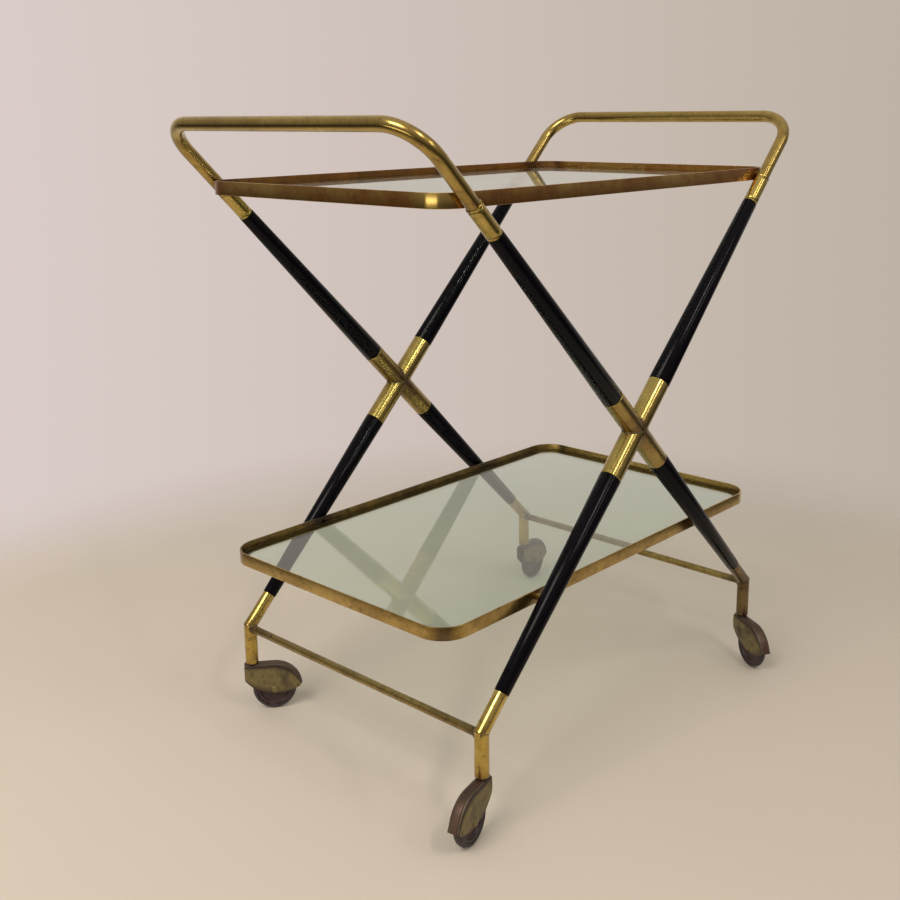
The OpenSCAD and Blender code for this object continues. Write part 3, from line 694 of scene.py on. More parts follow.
def make_handle_ferrule(corner, side, end):
    """A sleeve between tube and leg, with a turned groove near each end."""
    groove_at = 3 * MM
    groove_w = 0.5 * MM
    groove_d = 0.35 * MM
    grooves = []
    for middle in (groove_at, FERRULE_LENGTH - groove_at):
        grooves += [(FERRULE_R, middle - groove_w), (FERRULE_R - groove_d, middle),
                    (FERRULE_R, middle + groove_w)]
    profile = round_profile(FERRULE_BORE_R, FERRULE_R, FERRULE_LENGTH)
    half = len(profile) // 2
    profile[half:half] = grooves
    piece = lathe(f"ferrule_{corner}", spread(profile, MARK_STEP, True),
                  leg_place(side, end, FERRULE_AT), loop=True)
    ends = [leg_place(side, end, at).translation for at in (FERRULE_AT, LEG_TOP_AT)]
    store_dirt_and_shade(piece, [(0.4, ends, 12 * MM)])
    finish_piece(piece, ferrule_brass, "frame", "brass", f"handle_ferrule_{corner}")


# Wooden legs and the sleeves where they cross

def leg_profile(start_r, stop_r, length):
    """A straight taper with small turned shoulders that sit down on the brass."""
    shoulder = 0.6 * MM
    near = 0.3 * shoulder
    return [(0, 0), (start_r - shoulder, 0), (start_r - near, near), (start_r, shoulder),
            (stop_r, length - shoulder), (stop_r - near, length - near), (stop_r - shoulder, length),
            (0, length)]


def make_legs(corner, side, end):
    """The wood above the crossing hangs from this side's handle; the wood below stands on its foot."""
    upper = leg_profile(LEG_TOP_R, SLEEVE_R, CROSS_AT - SLEEVE_LENGTH / 2 - LEG_TOP_AT)
    piece = lathe(f"upper_leg_{corner}", upper, leg_place(side, end, LEG_TOP_AT))
    finish_piece(piece, lacquer, "frame", "black_lacquer", f"leg_upper_{corner}")
    start = CROSS_AT + SLEEVE_LENGTH / 2
    lower = leg_profile(SLEEVE_R, LEG_FOOT_R, LEG_FOOT_AT - start)
    piece = lathe(f"lower_leg_{corner}", lower, leg_place(-side, end, start))
    finish_piece(piece, lacquer, "frame", "black_lacquer", f"leg_lower_{corner}")


def sleeve_dirt(side, end):
    """Sleeves are brown at their ends and where they meet."""
    middle = leg_place(side, end, CROSS_AT).translation
    ends = [leg_place(side, end, CROSS_AT + half * SLEEVE_LENGTH / 2).translation for half in (-1, 1)]
    return [(0.5, [middle], 40 * MM), (0.3, ends, 14 * MM)]


def make_through_sleeve(word, end):
    """The sleeve on the left handle's legs, which runs straight through the crossing."""
    profile = round_profile(SLEEVE_BORE_R, SLEEVE_R, SLEEVE_LENGTH)
    piece = lathe(f"through_sleeve_{word}", spread(profile, MARK_STEP, True),
                  leg_place(-1, end, CROSS_AT - SLEEVE_LENGTH / 2), loop=True)
    store_dirt_and_shade(piece, sleeve_dirt(-1, end))
    finish_piece(piece, shaded_sleeve_brass, "frame", "brass", f"cross_through_{word}")


# Where along the tube, in metres, each half sleeve was cut, so that the halves' marks differ
HALF_SLEEVE_STOCK = {"upper": 0.3, "lower": 0.7}


def make_half_sleeve(word, end, part):
    """A half sleeve whose inner end is coped round the sleeve that runs through."""
    place = leg_place(1, end, CROSS_AT)
    if part == "upper":
        place = place @ Matrix.Rotation(math.pi, 4, "Y")
    through = place.to_3x3().inverted() @ leg_place(-1, end, 0).to_3x3() @ UP
    if through.x < 0:
        through.negate()
    around = 96
    steps = 14
    lip_share = 0.01
    shares = [lip_share] + [i / steps for i in range(1, steps)] + [1 - lip_share]
    rings = [(SLEEVE_BORE_R, 0), (SLEEVE_R - LIP, 0)] + [(SLEEVE_R, share) for share in shares]
    rings += [(SLEEVE_R - LIP, 1), (SLEEVE_BORE_R, 1)]
    verts = []
    for r, share in rings:
        for i in range(around):
            angle = 2 * math.pi * i / around
            x, y = r * math.cos(angle), r * math.sin(angle)
            cope = (through.z * x + math.sqrt((SLEEVE_R + COPE_GAP) ** 2 - y ** 2)) / through.x
            verts.append(place @ Vector((x, y, cope + (SLEEVE_LENGTH / 2 - cope) * share)))
    piece = mesh_object(f"half_sleeve_{part}_{word}", verts, grid_faces(len(rings), around, True, True))
    recalculate(piece)
    back = place.inverted()
    shift = Vector((0, 0, HALF_SLEEVE_STOCK[part]))
    store(piece, "drawn", [back @ point.co + shift for point in piece.data.vertices])
    store_dirt_and_shade(piece, sleeve_dirt(1, end))
    finish_piece(piece, sleeve_brass, "frame", "brass", f"cross_stub_{part}_{word}")


def solder(name, points, start, r, unevenness, lumps_per_metre, around):
    """Lay a lumpy bead of solder along a closed path; start shifts its marks."""
    bead = grow(name, path_object(points, True), TUBE_SWEEP, Radius=r, Unevenness=unevenness,
                Lumps_Per_Metre=lumps_per_metre, Closed=True, Around=around, Start=start,
                Material=solder_grey)
    finish_piece(bead, solder_grey, "frame", "dull_brass")


def make_solder_seams(word, end):
    """Solder in the corners between the sleeves. Two tubes of one size meet in two ellipses, whose
    planes halve the angles between them."""
    middle = leg_place(-1, end, CROSS_AT).translation
    half_axes = (LENGTHWISE * (SLEEVE_R / math.cos(LEAN)), UP * (SLEEVE_R / math.sin(LEAN)))
    for number, half_axis in enumerate(half_axes):
        points = ring_points(middle, half_axis, ACROSS * SLEEVE_R, 72)
        solder(f"solder_seam_{word}_{number + 1}", points, points[0], r=0.8 * MM,
               unevenness=0.45 * MM, lumps_per_metre=260.0, around=12)


# Feet and stretchers

def foot_directions(side):
    """The way up the leg that stands on a side's feet, and the way square to the elbow's mitre."""
    up_leg = -(leg_place(-side, 1, 0).to_3x3() @ UP)
    return up_leg, (up_leg + UP).normalized()


def make_foot(corner, side, end, material):
    """A ferrule along the leg, mitred to the upright caster stem, with the seam filed smooth."""
    around = 96
    elbow = Vector((side * FOOT_REACH, end * LEG_PLANE, FOOT_HEIGHT))
    up_leg, mitre = foot_directions(side)
    stem = FOOT_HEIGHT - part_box(f"foot_{corner}")[0].z
    verts = []
    drawn = []

    def onto_mitre(points, direction):
        """Slide points to the plane in which stem and ferrule meet."""
        return [point - direction * ((point - elbow).dot(mitre) / direction.dot(mitre))
                for point in points]

    def ring(direction, r, along, mitred=False):
        """A ring about the elbow's stem or ferrule, at a distance along it or on the mitre."""
        sideways = ACROSS.cross(direction).normalized()
        points = ring_points(elbow + direction * along, ACROSS * r, sideways * r, around)
        verts.extend(onto_mitre(points, direction) if mitred else points)
        drawn.extend(ring_points(elbow + UP * along, LENGTHWISE * r, ACROSS * r, around))

    mitre_room = FOOT_R
    steps = 10
    ring(UP, FOOT_BORE_R, -stem)
    ring(UP, FOOT_R - LIP, -stem)
    for i in range(steps + 1):
        ring(UP, FOOT_R, -(stem - LIP) + (stem - LIP - mitre_room) * i / steps)
    ring(UP, FOOT_R, 0, mitred=True)
    for i in range(steps + 1):
        ring(up_leg, FOOT_R, mitre_room + (FOOT_FERRULE_LENGTH - LIP - mitre_room) * i / steps)
    ring(up_leg, FOOT_R - LIP, FOOT_FERRULE_LENGTH)
    ring(up_leg, FOOT_BORE_R, FOOT_FERRULE_LENGTH)
    ring(UP, FOOT_BORE_R, 0, mitred=True)
    piece = mesh_object(f"mitred_foot_{corner}", verts,
                        grid_faces(len(verts) // around, around, True, True))
    store(piece, "drawn", drawn)
    recalculate(piece)
    bottom = elbow - UP * stem
    top = elbow + up_leg * FOOT_FERRULE_LENGTH
    store_dirt_and_shade(piece, [(0.45, [bottom], 22 * MM), (0.3, [elbow], 22 * MM), (0.3, [top], 12 * MM)])
    finish_piece(piece, material, "frame", "brass", f"foot_{corner}")
    seam_r = FOOT_R - 0.25 * MM
    seam = onto_mitre(ring_points(elbow, ACROSS * seam_r, LENGTHWISE * seam_r, around), UP)
    solder(f"foot_seam_{corner}", seam, elbow, r=0.45 * MM, unevenness=0.2 * MM,
           lumps_per_metre=400.0, around=8)


def make_stretcher(word, side):
    """A plain rod between two feet, with a ring of solder where it enters each elbow."""
    low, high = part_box(f"stretcher_{word}")
    length = high.y - low.y
    centre = (low + high) / 2
    profile = spread(round_profile(0, STRETCHER_R, length), MARK_STEP)
    place = Matrix.Translation((centre.x, high.y, centre.z)) @ Matrix.Rotation(math.pi / 2, 4, "X")
    piece = lathe(f"{word}_stretcher_rod", profile, place, segments=64)
    ends = [Vector((centre.x, y, centre.z)) for y in (low.y, high.y)]
    store_dirt_and_shade(piece, [(0.5, ends, 40 * MM)])
    finish_piece(piece, rod_brass, "frame", "dull_brass", f"stretcher_{word}")
    collar_r = STRETCHER_R + 0.2 * MM
    elbow = Vector((side * FOOT_REACH, centre.y, FOOT_HEIGHT))
    up_leg, mitre = foot_directions(side)
    for end_word, end in ENDS.items():
        points = ring_points(centre, LENGTHWISE * collar_r, UP * collar_r, 48)
        for point in points:
            from_elbow = point - elbow
            axis = up_leg if from_elbow.dot(mitre) > 0 else UP
            off_axis = (from_elbow - axis * from_elbow.dot(axis)).length
            point.y = end * (LEG_PLANE - math.sqrt(FOOT_R ** 2 - off_axis ** 2))
        solder(f"rod_solder_{word}_{end_word}", points, points[0], r=0.9 * MM,
               unevenness=0.5 * MM, lumps_per_metre=350.0, around=10)


# Trays

def upper_band_dirt_and_shade(fixings, low, high):
    """Brown at the fixings, partly tarnish and partly painted shade and reflection of the legs, and at
    the strip's joint; rubbed bright on the near left corner.
    """
    near_corner = Vector((low.x, low.y, high.z))
    joint = Vector((high.x, high.y - UPPER_CORNER_R, high.z))
    return [(0.5, fixings, 36 * MM), (0.6, [joint], 20 * MM), (-0.7, [near_corner], 70 * MM)]


def lower_band_dirt_and_shade(fixings, low, high):
    """Brown at the legs, partly tarnish and partly painted shade and reflection of the legs, at the
    joint and the near left corner, where two bright spots are rubbed free.
    """
    turn = LOWER_CORNER_R * (1 - math.sqrt(0.5))
    near_corner = Vector((low.x + turn, low.y + turn, (low.z + high.z) / 2))
    joint = Vector((high.x, high.y - LOWER_CORNER_R, high.z))
    rubbed = [near_corner + Vector((shift, -0.6 * shift, 0)) for shift in (-6 * MM, 5 * MM)]
    return [(0.5, fixings, 36 * MM), (0.8, [near_corner], 24 * MM), (0.6, [joint], 18 * MM),
            (-1.6, rubbed, 5 * MM)]


def make_tray(word, corner_r, material, dirt_and_shade):
    """The bent strip, the ledge inside it, the loose pane on the ledge and the four screws."""
    low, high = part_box(f"{word}_tray_band")
    middle_z = (low.z + high.z) / 2
    outline = rounded_rectangle(high.x - BAND_T / 2, high.y - BAND_T / 2, corner_r - BAND_T / 2)
    points = [Vector((x, y, middle_z)) for x, y in spread(outline, MARK_STEP, True)]
    band = grow(f"{word}_band_strip", path_object(points, True), STRIP_SWEEP,
                Thickness=BAND_T, Height=high.z - low.z, Edge_Radius=0.6 * MM, Start=points[0],
                Material=material)
    face = fixing_face(word, corner_r)
    fixings = [Vector((side * face.x, end * high.y, face.z)) for side, end in QUARTERS]
    # The band's rear side is browned with painted shade
    store_dirt_and_shade(band, dirt_and_shade(fixings, low, high), REAR_PAINTED_SHADE)
    finish_piece(band, material, "frame", "band_brass", f"{word}_tray_band")
    dress_nodes([f"{word}_tray_ledge"], ledge_brass)
    make_pane(word, corner_r)
    make_screws(word, face)


def fixing_face(word, corner_r):
    """The middle of the right rear screw's head, on the inner face of the band."""
    band_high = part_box(f"{word}_tray_band")[1]
    screw_low, screw_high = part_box(f"{word}_tray_screws")
    head_r = (screw_high.z - screw_low.z) / 2
    x = screw_high.x - head_r
    inner_r = corner_r - BAND_T
    past = max(0.0, x - (band_high.x - corner_r))
    turned_in = inner_r - math.sqrt(inner_r ** 2 - past ** 2)
    return Vector((x, band_high.y - BAND_T - turned_in, (screw_low.z + screw_high.z) / 2))


# Seeds for how far each screw and washer is turned
SCREW_SEED = 4
WASHER_SEED = 7


def fasten(name, part, places, seed, material, slot, node):
    """Put a copy of a small part on each place, which is a point and the way it faces."""
    points = mesh_object(f"{name}_places", [point for point, out in places], [])
    store(points, "out", [out for point, out in places])
    group = grow(name, points, FASTENERS, Part=part, Size=1.0, Seed=seed, Material=material)
    bpy.data.objects.remove(part)
    finish_piece(group, material, "frame", slot, node)


def make_screws(word, face):
    """Four countersunk brass screws with a sawn slot, from inside the band out into the legs."""
    low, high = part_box(f"{word}_tray_screws")
    head_r = (high.z - low.z) / 2
    length = high.y - face.y
    shank = [(SCREW_R, SCREW_HEAD_T), (SCREW_R, length - LIP), (SCREW_R - LIP, length)]
    profile = [(0, 0), (head_r, 0)] + shank + [(0, length)]
    part = lathe("screw_blank", profile, Matrix.Identity(4), segments=32)
    half = Vector((head_r + LIP, SLOT_W / 2, SLOT_DEPTH))
    both = (-1, 1)
    corners = [(x * half.x, y * half.y, z * half.z) for x in both for y in both for z in both]
    saw = mesh_object("screw_saw", corners, [(0, 1, 3, 2), (4, 6, 7, 5), (0, 4, 5, 1), (2, 3, 7, 6),
                                             (0, 2, 6, 4), (1, 5, 7, 3)])
    cut = part.modifiers.new("slot", "BOOLEAN")
    cut.operation = "DIFFERENCE"
    cut.object = saw
    slotted = bpy.data.objects.new("slotted_screw", settled_mesh(part))
    bpy.context.scene.collection.objects.link(slotted)
    bpy.data.objects.remove(part)
    bpy.data.objects.remove(saw)
    places = [((side * face.x, end * face.y, face.z), ACROSS * end) for side, end in QUARTERS]
    fasten(f"{word}_slotted_screws", slotted, places, SCREW_SEED, screw_brass, "screw_brass",
           f"{word}_tray_screws")


def make_washers():
    """Four washers with rounded edges between the stems and the hoods."""
    low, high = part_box("caster_washers")
    washer_r = high.x - FOOT_REACH
    profile = round_profile(WASHER_BORE_R, washer_r, high.z - low.z, 0.3 * MM)
    part = lathe("washer_blank", profile, Matrix.Identity(4), loop=True, segments=48)
    places = [((side * FOOT_REACH, end * LEG_PLANE, low.z), UP) for side, end in QUARTERS]
    fasten("stem_washers", part, places, WASHER_SEED, steel, "steel", "caster_washers")


def make_pane(word, corner_r):
    """A pane with ground and arrised edges."""
    low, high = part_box(f"{word}_glass")
    r = corner_r - BAND_T - GLASS_GAP
    rings = []
    for inset, z in ((ARRIS, low.z), (0, low.z + ARRIS), (0, high.z - ARRIS), (ARRIS, high.z)):
        outline = rounded_rectangle(high.x - inset, high.y - inset, r - inset)
        rings.append([(x, y, z) for x, y in outline])
    count = len(rings[0])
    verts = [point for ring in rings for point in ring]
    faces = grid_faces(len(rings), count, False, True)
    faces += [tuple(range(count)), tuple(range(3 * count, 4 * count))]
    piece = mesh_object(f"{word}_pane_glass", verts, faces)
    recalculate(piece)
    finish_piece(piece, glass, f"{word}_pane", "glass", f"{word}_glass")


# Casters

def hood_outlines(trail, axle_z, top):
    """The hood's shoulder line over the wheel and its lower skirt line, both from nose to tail."""
    spine_r = top - axle_z
    shoulder_r = spine_r - SPINE_RISE
    tail_angle = math.degrees(math.asin(TAIL_RISE / spine_r))
    flat_steps, arch_steps = 10, 26
    flat = trail + NOSE_REACH
    upper = [(-NOSE_REACH + flat * i / flat_steps, axle_z + shoulder_r) for i in range(flat_steps)]
    upper += arc((trail, axle_z), shoulder_r, 90, tail_angle, arch_steps)
    reach = upper[-1][0] + NOSE_REACH
    lower = []
    for i in range(len(upper)):
        x = -NOSE_REACH + reach * i / (len(upper) - 1)
        sag = math.sqrt(SKIRT_R ** 2 - (x - trail - SKIRT_SHIFT) ** 2)
        lower.append((x, SKIRT_LOW + SKIRT_R - sag))
    return upper, lower


# A hood's section above its side plates, in mm: rise above the shoulder line, and how far in from
# the plate's face or out from the spine's side
SHOULDER_BEND = ((-1.2, 0.45), (-0.35, 1.0))
SPINE_BEND = ((0, 0.7), (0.1, 0.2), (1.0, -0.1), (1.38, -0.6), (1.5, -2.2))
PLATE_STEPS = 8

# How dark or pale each part of the hood is painted, kept as "rim": the skirt, the shoulder, the foot
# of the spine and the spine itself. The shoulder's dark band is painted shade where the hood curves
# away. Towards the skirt and the shoulder it rises over a quarter of the plate
SKIRT_RIM = 0.75
SHOULDER_SHADE = 1.0
SPINE_FOOT_RIM = 1.1
SPINE_RIM = 2.0
RIM_REACH = 0.25


def make_hood(corner):
    """A pressed hood: two crowned side plates, rolled shoulders and a raised spine."""
    place, trail, axle_z = caster_place(corner)
    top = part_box(f"caster_hood_{corner}")[1].z
    upper, lower = hood_outlines(trail, axle_z, top)
    rows = []
    rims = []
    for (ux, uz), (lx, lz) in zip(upper, lower):
        out = Vector((0, 1)) if ux <= trail else Vector((ux - trail, uz - axle_z)).normalized()
        side = []
        rim = []
        for j in range(PLATE_STEPS):
            share = 1 - j / PLATE_STEPS
            y = HOOD_HALF_W - HOOD_CROWN * (2 * share - 1) ** 2
            side.append((ux + (lx - ux) * share, y, uz + (lz - uz) * share))
            rim.append(max(SKIRT_RIM * (1 - (1 - share) / RIM_REACH), 1 - share / RIM_REACH, 0))
        # The shoulder is painted dark as shade where the hood curves away
        for rise, inset in SHOULDER_BEND:
            side.append((ux + out.x * rise * MM, HOOD_HALF_W - inset * MM, uz + out.y * rise * MM))
            rim.append(SHOULDER_SHADE)
        for rise, outset in SPINE_BEND:
            side.append((ux + out.x * rise * MM, SPINE_HALF_W + outset * MM, uz + out.y * rise * MM))
            rim.append(SPINE_FOOT_RIM + (SPINE_RIM - SPINE_FOOT_RIM) * rise / SPINE_BEND[-1][0])
        spine = (ux + out.x * SPINE_RISE, 0, uz + out.y * SPINE_RISE)
        rows.append(side + [spine] + [(x, -y, z) for x, y, z in reversed(side)])
        rims += rim + [SPINE_RIM] + rim[::-1]
    columns = len(rows[0])
    verts = [place @ Vector(point) for row in rows for point in row]
    piece = mesh_object(f"pressed_hood_{corner}", verts, grid_faces(len(rows), columns, False, False))
    store(piece, "rim", rims)
    recalculate(piece)
    point_outwards(piece, place @ Vector((trail, 0, axle_z)))
    shell = piece.modifiers.new("sheet", "SOLIDIFY")
    shell.thickness = HOOD_SHEET
    shell.offset = -1
    shell.use_even_offset = True
    smooth = piece.modifiers.new("smooth", "SUBSURF")
    smooth.levels = 1
    smooth.render_levels = 1
    finish_piece(piece, hood_brass, f"{corner}_caster", "caster_brass", f"caster_hood_{corner}")


def point_outwards(piece, inside):
    """Turn an open shell's faces away from a point inside it."""
    mesh = piece.data
    vote = sum((p.center - inside).dot(p.normal) * p.area for p in mesh.polygons)
    if vote < 0:
        mesh.flip_normals()


def make_caster_fittings(corner):
    """The swivel pin and the axle with its domed rivet heads."""
    place, trail, axle_z = caster_place(corner)
    low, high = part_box(f"caster_pin_{corner}")
    head_r = (high.x - low.x) / 2
    head_edge = 0.8 * MM
    profile = [(0, low.z), (head_r - head_edge, low.z), (head_r, low.z + head_edge),
               (head_r, low.z + PIN_HEAD_T), (PIN_R, low.z + PIN_HEAD_T), (PIN_R, high.z - LIP),
               (PIN_R - LIP, high.z), (0, high.z)]
    pin = lathe(f"swivel_pin_{corner}", profile, place, segments=48)
    finish_piece(pin, steel, f"{corner}_caster", "steel", f"caster_pin_{corner}")
    steps = 8
    dome = []
    for i in range(steps):
        angle = math.pi / 2 * i / steps
        dome.append((AXLE_HEAD_R * math.cos(angle), HOOD_HALF_W + AXLE_HEAD_T * math.sin(angle)))
    half_profile = [(AXLE_R, HOOD_HALF_W)] + dome + [(0, HOOD_HALF_W + AXLE_HEAD_T)]
    profile = [(r, -z) for r, z in reversed(half_profile)] + half_profile
    turn = Matrix.Translation((trail, 0, axle_z)) @ Matrix.Rotation(math.pi / 2, 4, "X")
    axle = lathe(f"riveted_axle_{corner}", profile, place @ turn, segments=48)
    finish_piece(axle, hood_brass, f"{corner}_caster", "steel", f"caster_axle_{corner}")


def make_wheel(corner):
    """The moulded core with hub and dished web, and the tyre with its crowned tread."""
    place, trail, axle_z = caster_place(corner)
    turn = place @ Matrix.Translation((trail, 0, axle_z)) @ Matrix.Rotation(math.pi / 2, 4, "X")
    tyre_r = axle_z
    rim_r = tyre_r - TYRE_T
    rim_in = rim_r - RIM_T
    web_half = CORE_HALF_W - DISH_DEPTH
    edge = MOULDED_EDGE
    side = [(AXLE_R + AXLE_PLAY, HUB_HALF_W), (HUB_R - edge, HUB_HALF_W), (HUB_R, HUB_HALF_W - edge),
            (HUB_R + edge / 2, web_half + edge), (HUB_R + 2 * edge, web_half),
            (rim_in - edge, web_half), (rim_in, web_half + edge),
            (rim_in + edge / 2, CORE_HALF_W - edge), (rim_in + edge, CORE_HALF_W),
            (rim_r - edge, CORE_HALF_W), (rim_r, CORE_HALF_W - edge)]
    profile = side + [(r, -z) for r, z in reversed(side)]
    core = lathe(f"wheel_core_{corner}", profile, turn, loop=True)
    finish_piece(core, core_rubber, f"{corner}_wheel", "wheel_core", f"wheel_{corner}")
    inner = rim_r + TYRE_SEAT
    corner_edge = 0.3 * MM
    reach = math.degrees(math.asin(TYRE_HALF_W / TREAD_R))
    profile = [(inner, corner_edge - TYRE_HALF_W), (inner + LIP, -TYRE_HALF_W)]
    profile += arc((tyre_r - TREAD_R, 0), TREAD_R, -reach, reach, 16)
    profile += [(inner + LIP, TYRE_HALF_W), (inner, TYRE_HALF_W - corner_edge)]
    tyre = lathe(f"tyre_ring_{corner}", profile, turn, loop=True)
    finish_piece(tyre, tyre_rubber, f"{corner}_wheel", "tyre_rubber", f"tyre_{corner}")


def dress_nodes(names, material):
    """Give CAD nodes that stay their own finish."""
    for name in names:
        mesh = frame["nodes"][name].data
        mesh.materials.clear()
        mesh.materials.append(material)


def make_object():
    for word, side in SIDES.items():
        make_handle(word, side)
        make_stretcher(word, side)
    for side_word, end_word in CORNERS:
        corner = f"{side_word}_{end_word}"
        side, end = SIDES[side_word], ENDS[end_word]
        make_handle_ferrule(corner, side, end)
        make_legs(corner, side, end)
        make_foot(corner, side, end, dark_foot_brass if corner == "right_front" else foot_brass)
        make_hood(corner)
        make_caster_fittings(corner)
        make_wheel(corner)
    for word, end in ENDS.items():
        make_through_sleeve(word, end)
        make_half_sleeve(word, end, "upper")
        make_half_sleeve(word, end, "lower")
        make_solder_seams(word, end)
    make_tray("upper", UPPER_CORNER_R, upper_band_brass, upper_band_dirt_and_shade)
    make_tray("lower", LOWER_CORNER_R, lower_band_brass, lower_band_dirt_and_shade)
    make_washers()
    dress_nodes(["upper_tray_spacers", "lower_tray_spacers"], screw_brass)
    dress_nodes(["caster_sockets"], steel)


# Stage, light and camera

CAMERA_AT = Vector((-1.0172, -0.8765, 0.6962))
CAMERA_YAW = -0.82906
CAMERA_PITCH = -0.21153
CAMERA_ROLL = -0.00941
FOCAL_PIXELS = 1168.05
CENTRE_PIXEL = (471.57, 361.92)
FRAME_PIXELS = 900
SENSOR = 36.0


def make_camera():
    """The photograph's camera, from its yaw, pitch, roll and the pixel its axis passes through."""
    forward = Vector((-math.sin(CAMERA_YAW) * math.cos(CAMERA_PITCH),
                      math.cos(CAMERA_YAW) * math.cos(CAMERA_PITCH), math.sin(CAMERA_PITCH)))
    right = Vector((math.cos(CAMERA_YAW), math.sin(CAMERA_YAW), 0))
    up = right.cross(forward)
    turned_right = right * math.cos(CAMERA_ROLL) + up * math.sin(CAMERA_ROLL)
    turned_up = up * math.cos(CAMERA_ROLL) - right * math.sin(CAMERA_ROLL)
    data = bpy.data.cameras.new("camera")
    data.sensor_width = SENSOR
    data.lens = SENSOR * FOCAL_PIXELS / FRAME_PIXELS
    data.shift_x = (FRAME_PIXELS / 2 - CENTRE_PIXEL[0]) / FRAME_PIXELS
    data.shift_y = (CENTRE_PIXEL[1] - FRAME_PIXELS / 2) / FRAME_PIXELS
    camera = bpy.data.objects.new("camera", data)
    axes = Matrix((turned_right, turned_up, -forward)).transposed()
    camera.matrix_world = Matrix.Translation(CAMERA_AT) @ axes.to_4x4()
    bpy.context.scene.collection.objects.link(camera)
    bpy.context.scene.camera = camera


# The room's right hand and far side, where the photograph has them. They stay put in other views
ROOM_RIGHT = (math.cos(CAMERA_YAW), math.sin(CAMERA_YAW), 0)
ROOM_FAR = (-math.sin(CAMERA_YAW), math.cos(CAMERA_YAW), 0)


def painted_floor(name, colour, far_colour):
    """Matt paper with the faintest unevenness and painted shade that darkens it towards the right, a
    little greyer where it sweeps up behind the cart, which ends in a soft edge without horizon."""
    material, tree = new_material(name)
    place = add(tree, "TexCoord").outputs["Object"]
    depth = add(tree, "VectorMath", {0: place, 1: ROOM_FAR}, operation="DOT_PRODUCT")
    behind = add(tree, "MapRange", {
        "Value": depth.outputs["Value"], "From Min": 0.36, "From Max": 0.70})
    paper = add(tree, "Mix", {"Factor": behind, MIX_A: colour, MIX_B: far_colour}, data_type="RGBA")
    tone = add(tree, "TexNoise", {"Vector": place, "Scale": 3.0, "Detail": 2.0})
    shade = add(tree, "MapRange", {"Value": tone, "To Min": 0.97, "To Max": 1.03})
    aside = add(tree, "VectorMath", {0: place, 1: ROOM_RIGHT}, operation="DOT_PRODUCT")
    # Painted shade: the paper is darker towards the right, where the light falls off
    level = add(tree, "MapRange", {
        "Value": aside.outputs["Value"], "From Min": -0.6, "From Max": 0.6,
        "To Min": 1.07, "To Max": 0.92})
    shade = add(tree, "Math", {0: shade, 1: level}, operation="MULTIPLY")
    painted = add(tree, "VectorMath", {
        0: paper.outputs[MIX_RESULT], "Scale": shade}, operation="SCALE")
    surface = add(tree, "BsdfPrincipled", {
        "Base Color": painted, "Roughness": 0.7, "Specular IOR Level": 0.3})
    distance = add(tree, "VectorMath", {0: place}, operation="LENGTH")
    gone = add(tree, "MapRange", {
        "Value": distance.outputs["Value"], "From Min": 0.65, "From Max": 1.15},
        interpolation_type="SMOOTHSTEP")
    clear = add(tree, "BsdfTransparent")
    faded = add(tree, "MixShader", {0: gone, 1: surface, 2: clear})
    add(tree, "OutputMaterial", {"Surface": faded})
    return material


def make_stage():
    half = 2.0
    outline = [(-half, -half, 0), (half, -half, 0), (half, half, 0), (-half, half, 0)]
    floor = mesh_object("floor", outline, [(0, 1, 2, 3)])
    floor.data.materials.append(painted_floor("pale_floor", "#D0C4B5", "#D2C7BE"))


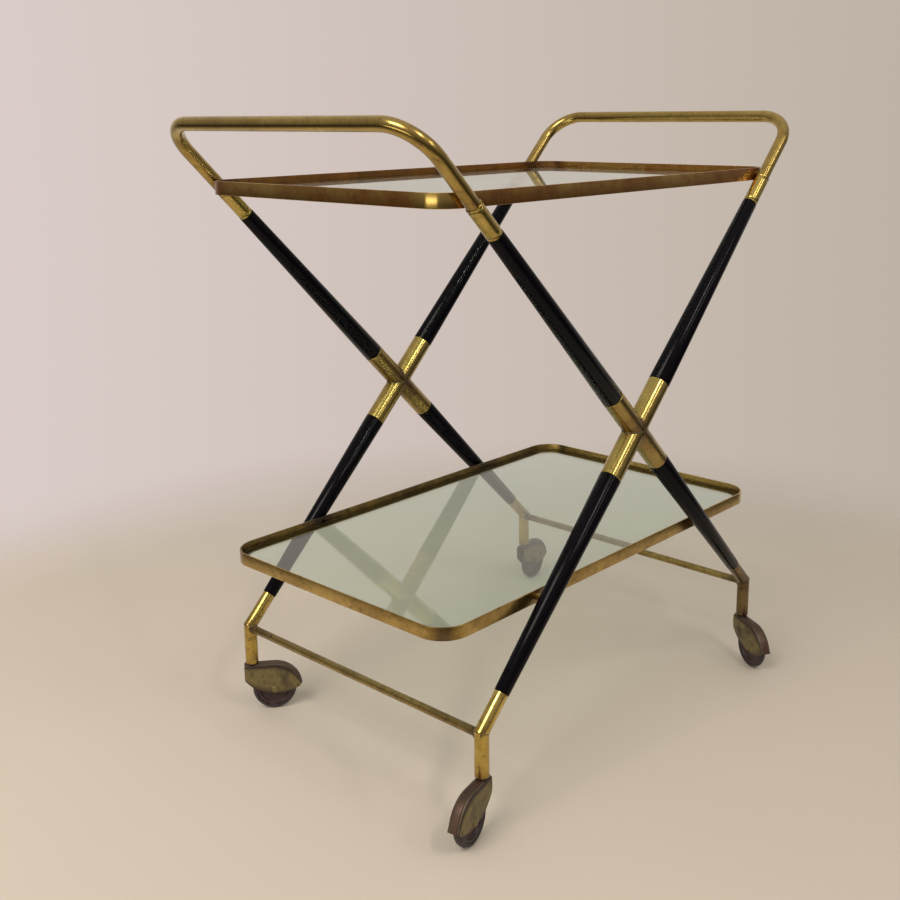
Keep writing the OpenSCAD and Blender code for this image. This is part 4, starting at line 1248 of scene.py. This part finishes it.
def make_world():
    """Even light from all round. The camera and the glass see a pale wall that turns to floor below,
    with painted shade that darkens it towards the right.
    Metal and lacquer see that wall behind the cart and on all other sides a room whose floor ends in
    the dark under its walls."""
    world = bpy.data.worlds.new("room")
    bpy.context.scene.world = world
    world.use_nodes = True
    tree = world.node_tree
    tree.nodes.clear()
    direction = add(tree, "TexCoord").outputs["Generated"]
    height = add(tree, "SeparateXYZ", {"Vector": direction}).outputs["Z"]
    rising = add(tree, "MapRange", {"Value": height, "From Min": -0.38, "From Max": -0.32})
    backdrop = add(tree, "Mix", {
        "Factor": rising, MIX_A: "#D3CABA", MIX_B: "#D3CECB"}, data_type="RGBA")
    # Painted shade on the backdrop: lighter to the left, darker and warmer to the right
    across = add(tree, "VectorMath", {0: direction, 1: ROOM_RIGHT}, operation="DOT_PRODUCT")
    falloff = add(tree, "MapRange", {
        "Value": across.outputs["Value"], "From Min": -0.36, "From Max": 0.36})
    painted_light_left = (1.08, 0.975, 0.965, 1)
    painted_shade_right = (0.785, 0.72, 0.625, 1)
    shade = add(tree, "Mix", {
        "Factor": falloff, MIX_A: painted_light_left, MIX_B: painted_shade_right}, data_type="RGBA")
    backdrop = add(tree, "VectorMath", {
        0: backdrop.outputs[MIX_RESULT], 1: shade.outputs[MIX_RESULT]}, operation="MULTIPLY")
    away = add(tree, "VectorMath", {0: direction, 1: ROOM_FAR}, operation="DOT_PRODUCT")
    behind = add(tree, "MapRange", {"Value": away.outputs["Value"], "From Min": 0.3, "From Max": 0.8})
    level = add(tree, "MapRange", {"Value": height, "From Min": -1.0})
    before = add(tree, "ValToRGB", {"Fac": level},
                 stops=[(0.0, "#C2B4A2"), (0.2, "#B5A896"), (0.28, "#3C3835"), (0.4, "#3C3835"),
                        (0.5, "#7B7672"), (0.65, "#938D88"), (0.82, "#A8A29C"), (1.0, "#CCC6C0")])
    room = add(tree, "Mix", {"Factor": behind, MIX_A: before, MIX_B: "#CDC3B8"}, data_type="RGBA")
    path = add(tree, "LightPath").outputs
    straight = add(tree, "Math", {0: path["Is Camera Ray"], 1: path["Is Transmission Ray"]},
                   operation="MAXIMUM")
    fill = add(tree, "Background", {"Color": "#F2EEE8", "Strength": 0.55})
    mirrored = add(tree, "Background", {"Color": room.outputs[MIX_RESULT], "Strength": 1.0})
    seen = add(tree, "Background", {"Color": backdrop, "Strength": 1.0})
    mixed = add(tree, "MixShader", {0: path["Is Glossy Ray"], 1: fill, 2: mirrored})
    mixed = add(tree, "MixShader", {0: straight, 1: mixed, 2: seen})
    add(tree, "OutputWorld", {"Surface": mixed})


def make_lamp(name, place, target, size, power, colour, upright=(0, 0, 1)):
    """A rectangular lamp whose second side lies as near to upright as its aim allows."""
    data = bpy.data.lights.new(name, "AREA")
    data.shape = "RECTANGLE"
    data.size, data.size_y = size
    data.energy = power
    data.color = linear(colour)[:3]
    lamp = bpy.data.objects.new(name, data)
    back = (Vector(place) - Vector(target)).normalized()
    right = Vector(upright).cross(back).normalized()
    axes = Matrix((right, back.cross(right), back)).transposed()
    lamp.matrix_world = Matrix.Translation(place) @ axes.to_4x4()
    lamp.visible_camera = False
    bpy.context.scene.collection.objects.link(lamp)
    return lamp


# The strip lamps aim at the front crossing, and run so that they gleam along the tubes
STRIP_AIM = (0, -0.183, 0.36)
STRIP_RUN = (0.75, 0.54, 0.49)

make_camera()
make_stage()
make_world()
make_lamp("ceiling_lamp", (-2.4, -0.3, 3.0), (0, 0, 0.3), (1.6, 1.2), 47, "#FFF6E8")
window = make_lamp("window_lamp", (-2.6, -0.1, 1.2), (0, 0, 0.5), (2.0, 1.6), 20, "#F4F6FF")
# The panes would mirror all of it as a white sheet, so metal and glass see its lowest strip alone
window.visible_glossy = False
make_lamp("window_sill_lamp", (-2.6, -0.1, 0.46), (0, 0, 0.5), (2.0, 0.3), 6, "#FFF4E0")
make_lamp("strip_lamp", (-0.31, -1.74, 2.41), STRIP_AIM, (0.12, 0.95), 12, "#FFFAF0", STRIP_RUN)
make_lamp("far_strip_lamp", (0.52, -2.3, 1.94), STRIP_AIM, (0.12, 1.4), 6, "#FFFAF0", STRIP_RUN)
make_object()

bpy.context.scene.view_settings.view_transform = "Standard"
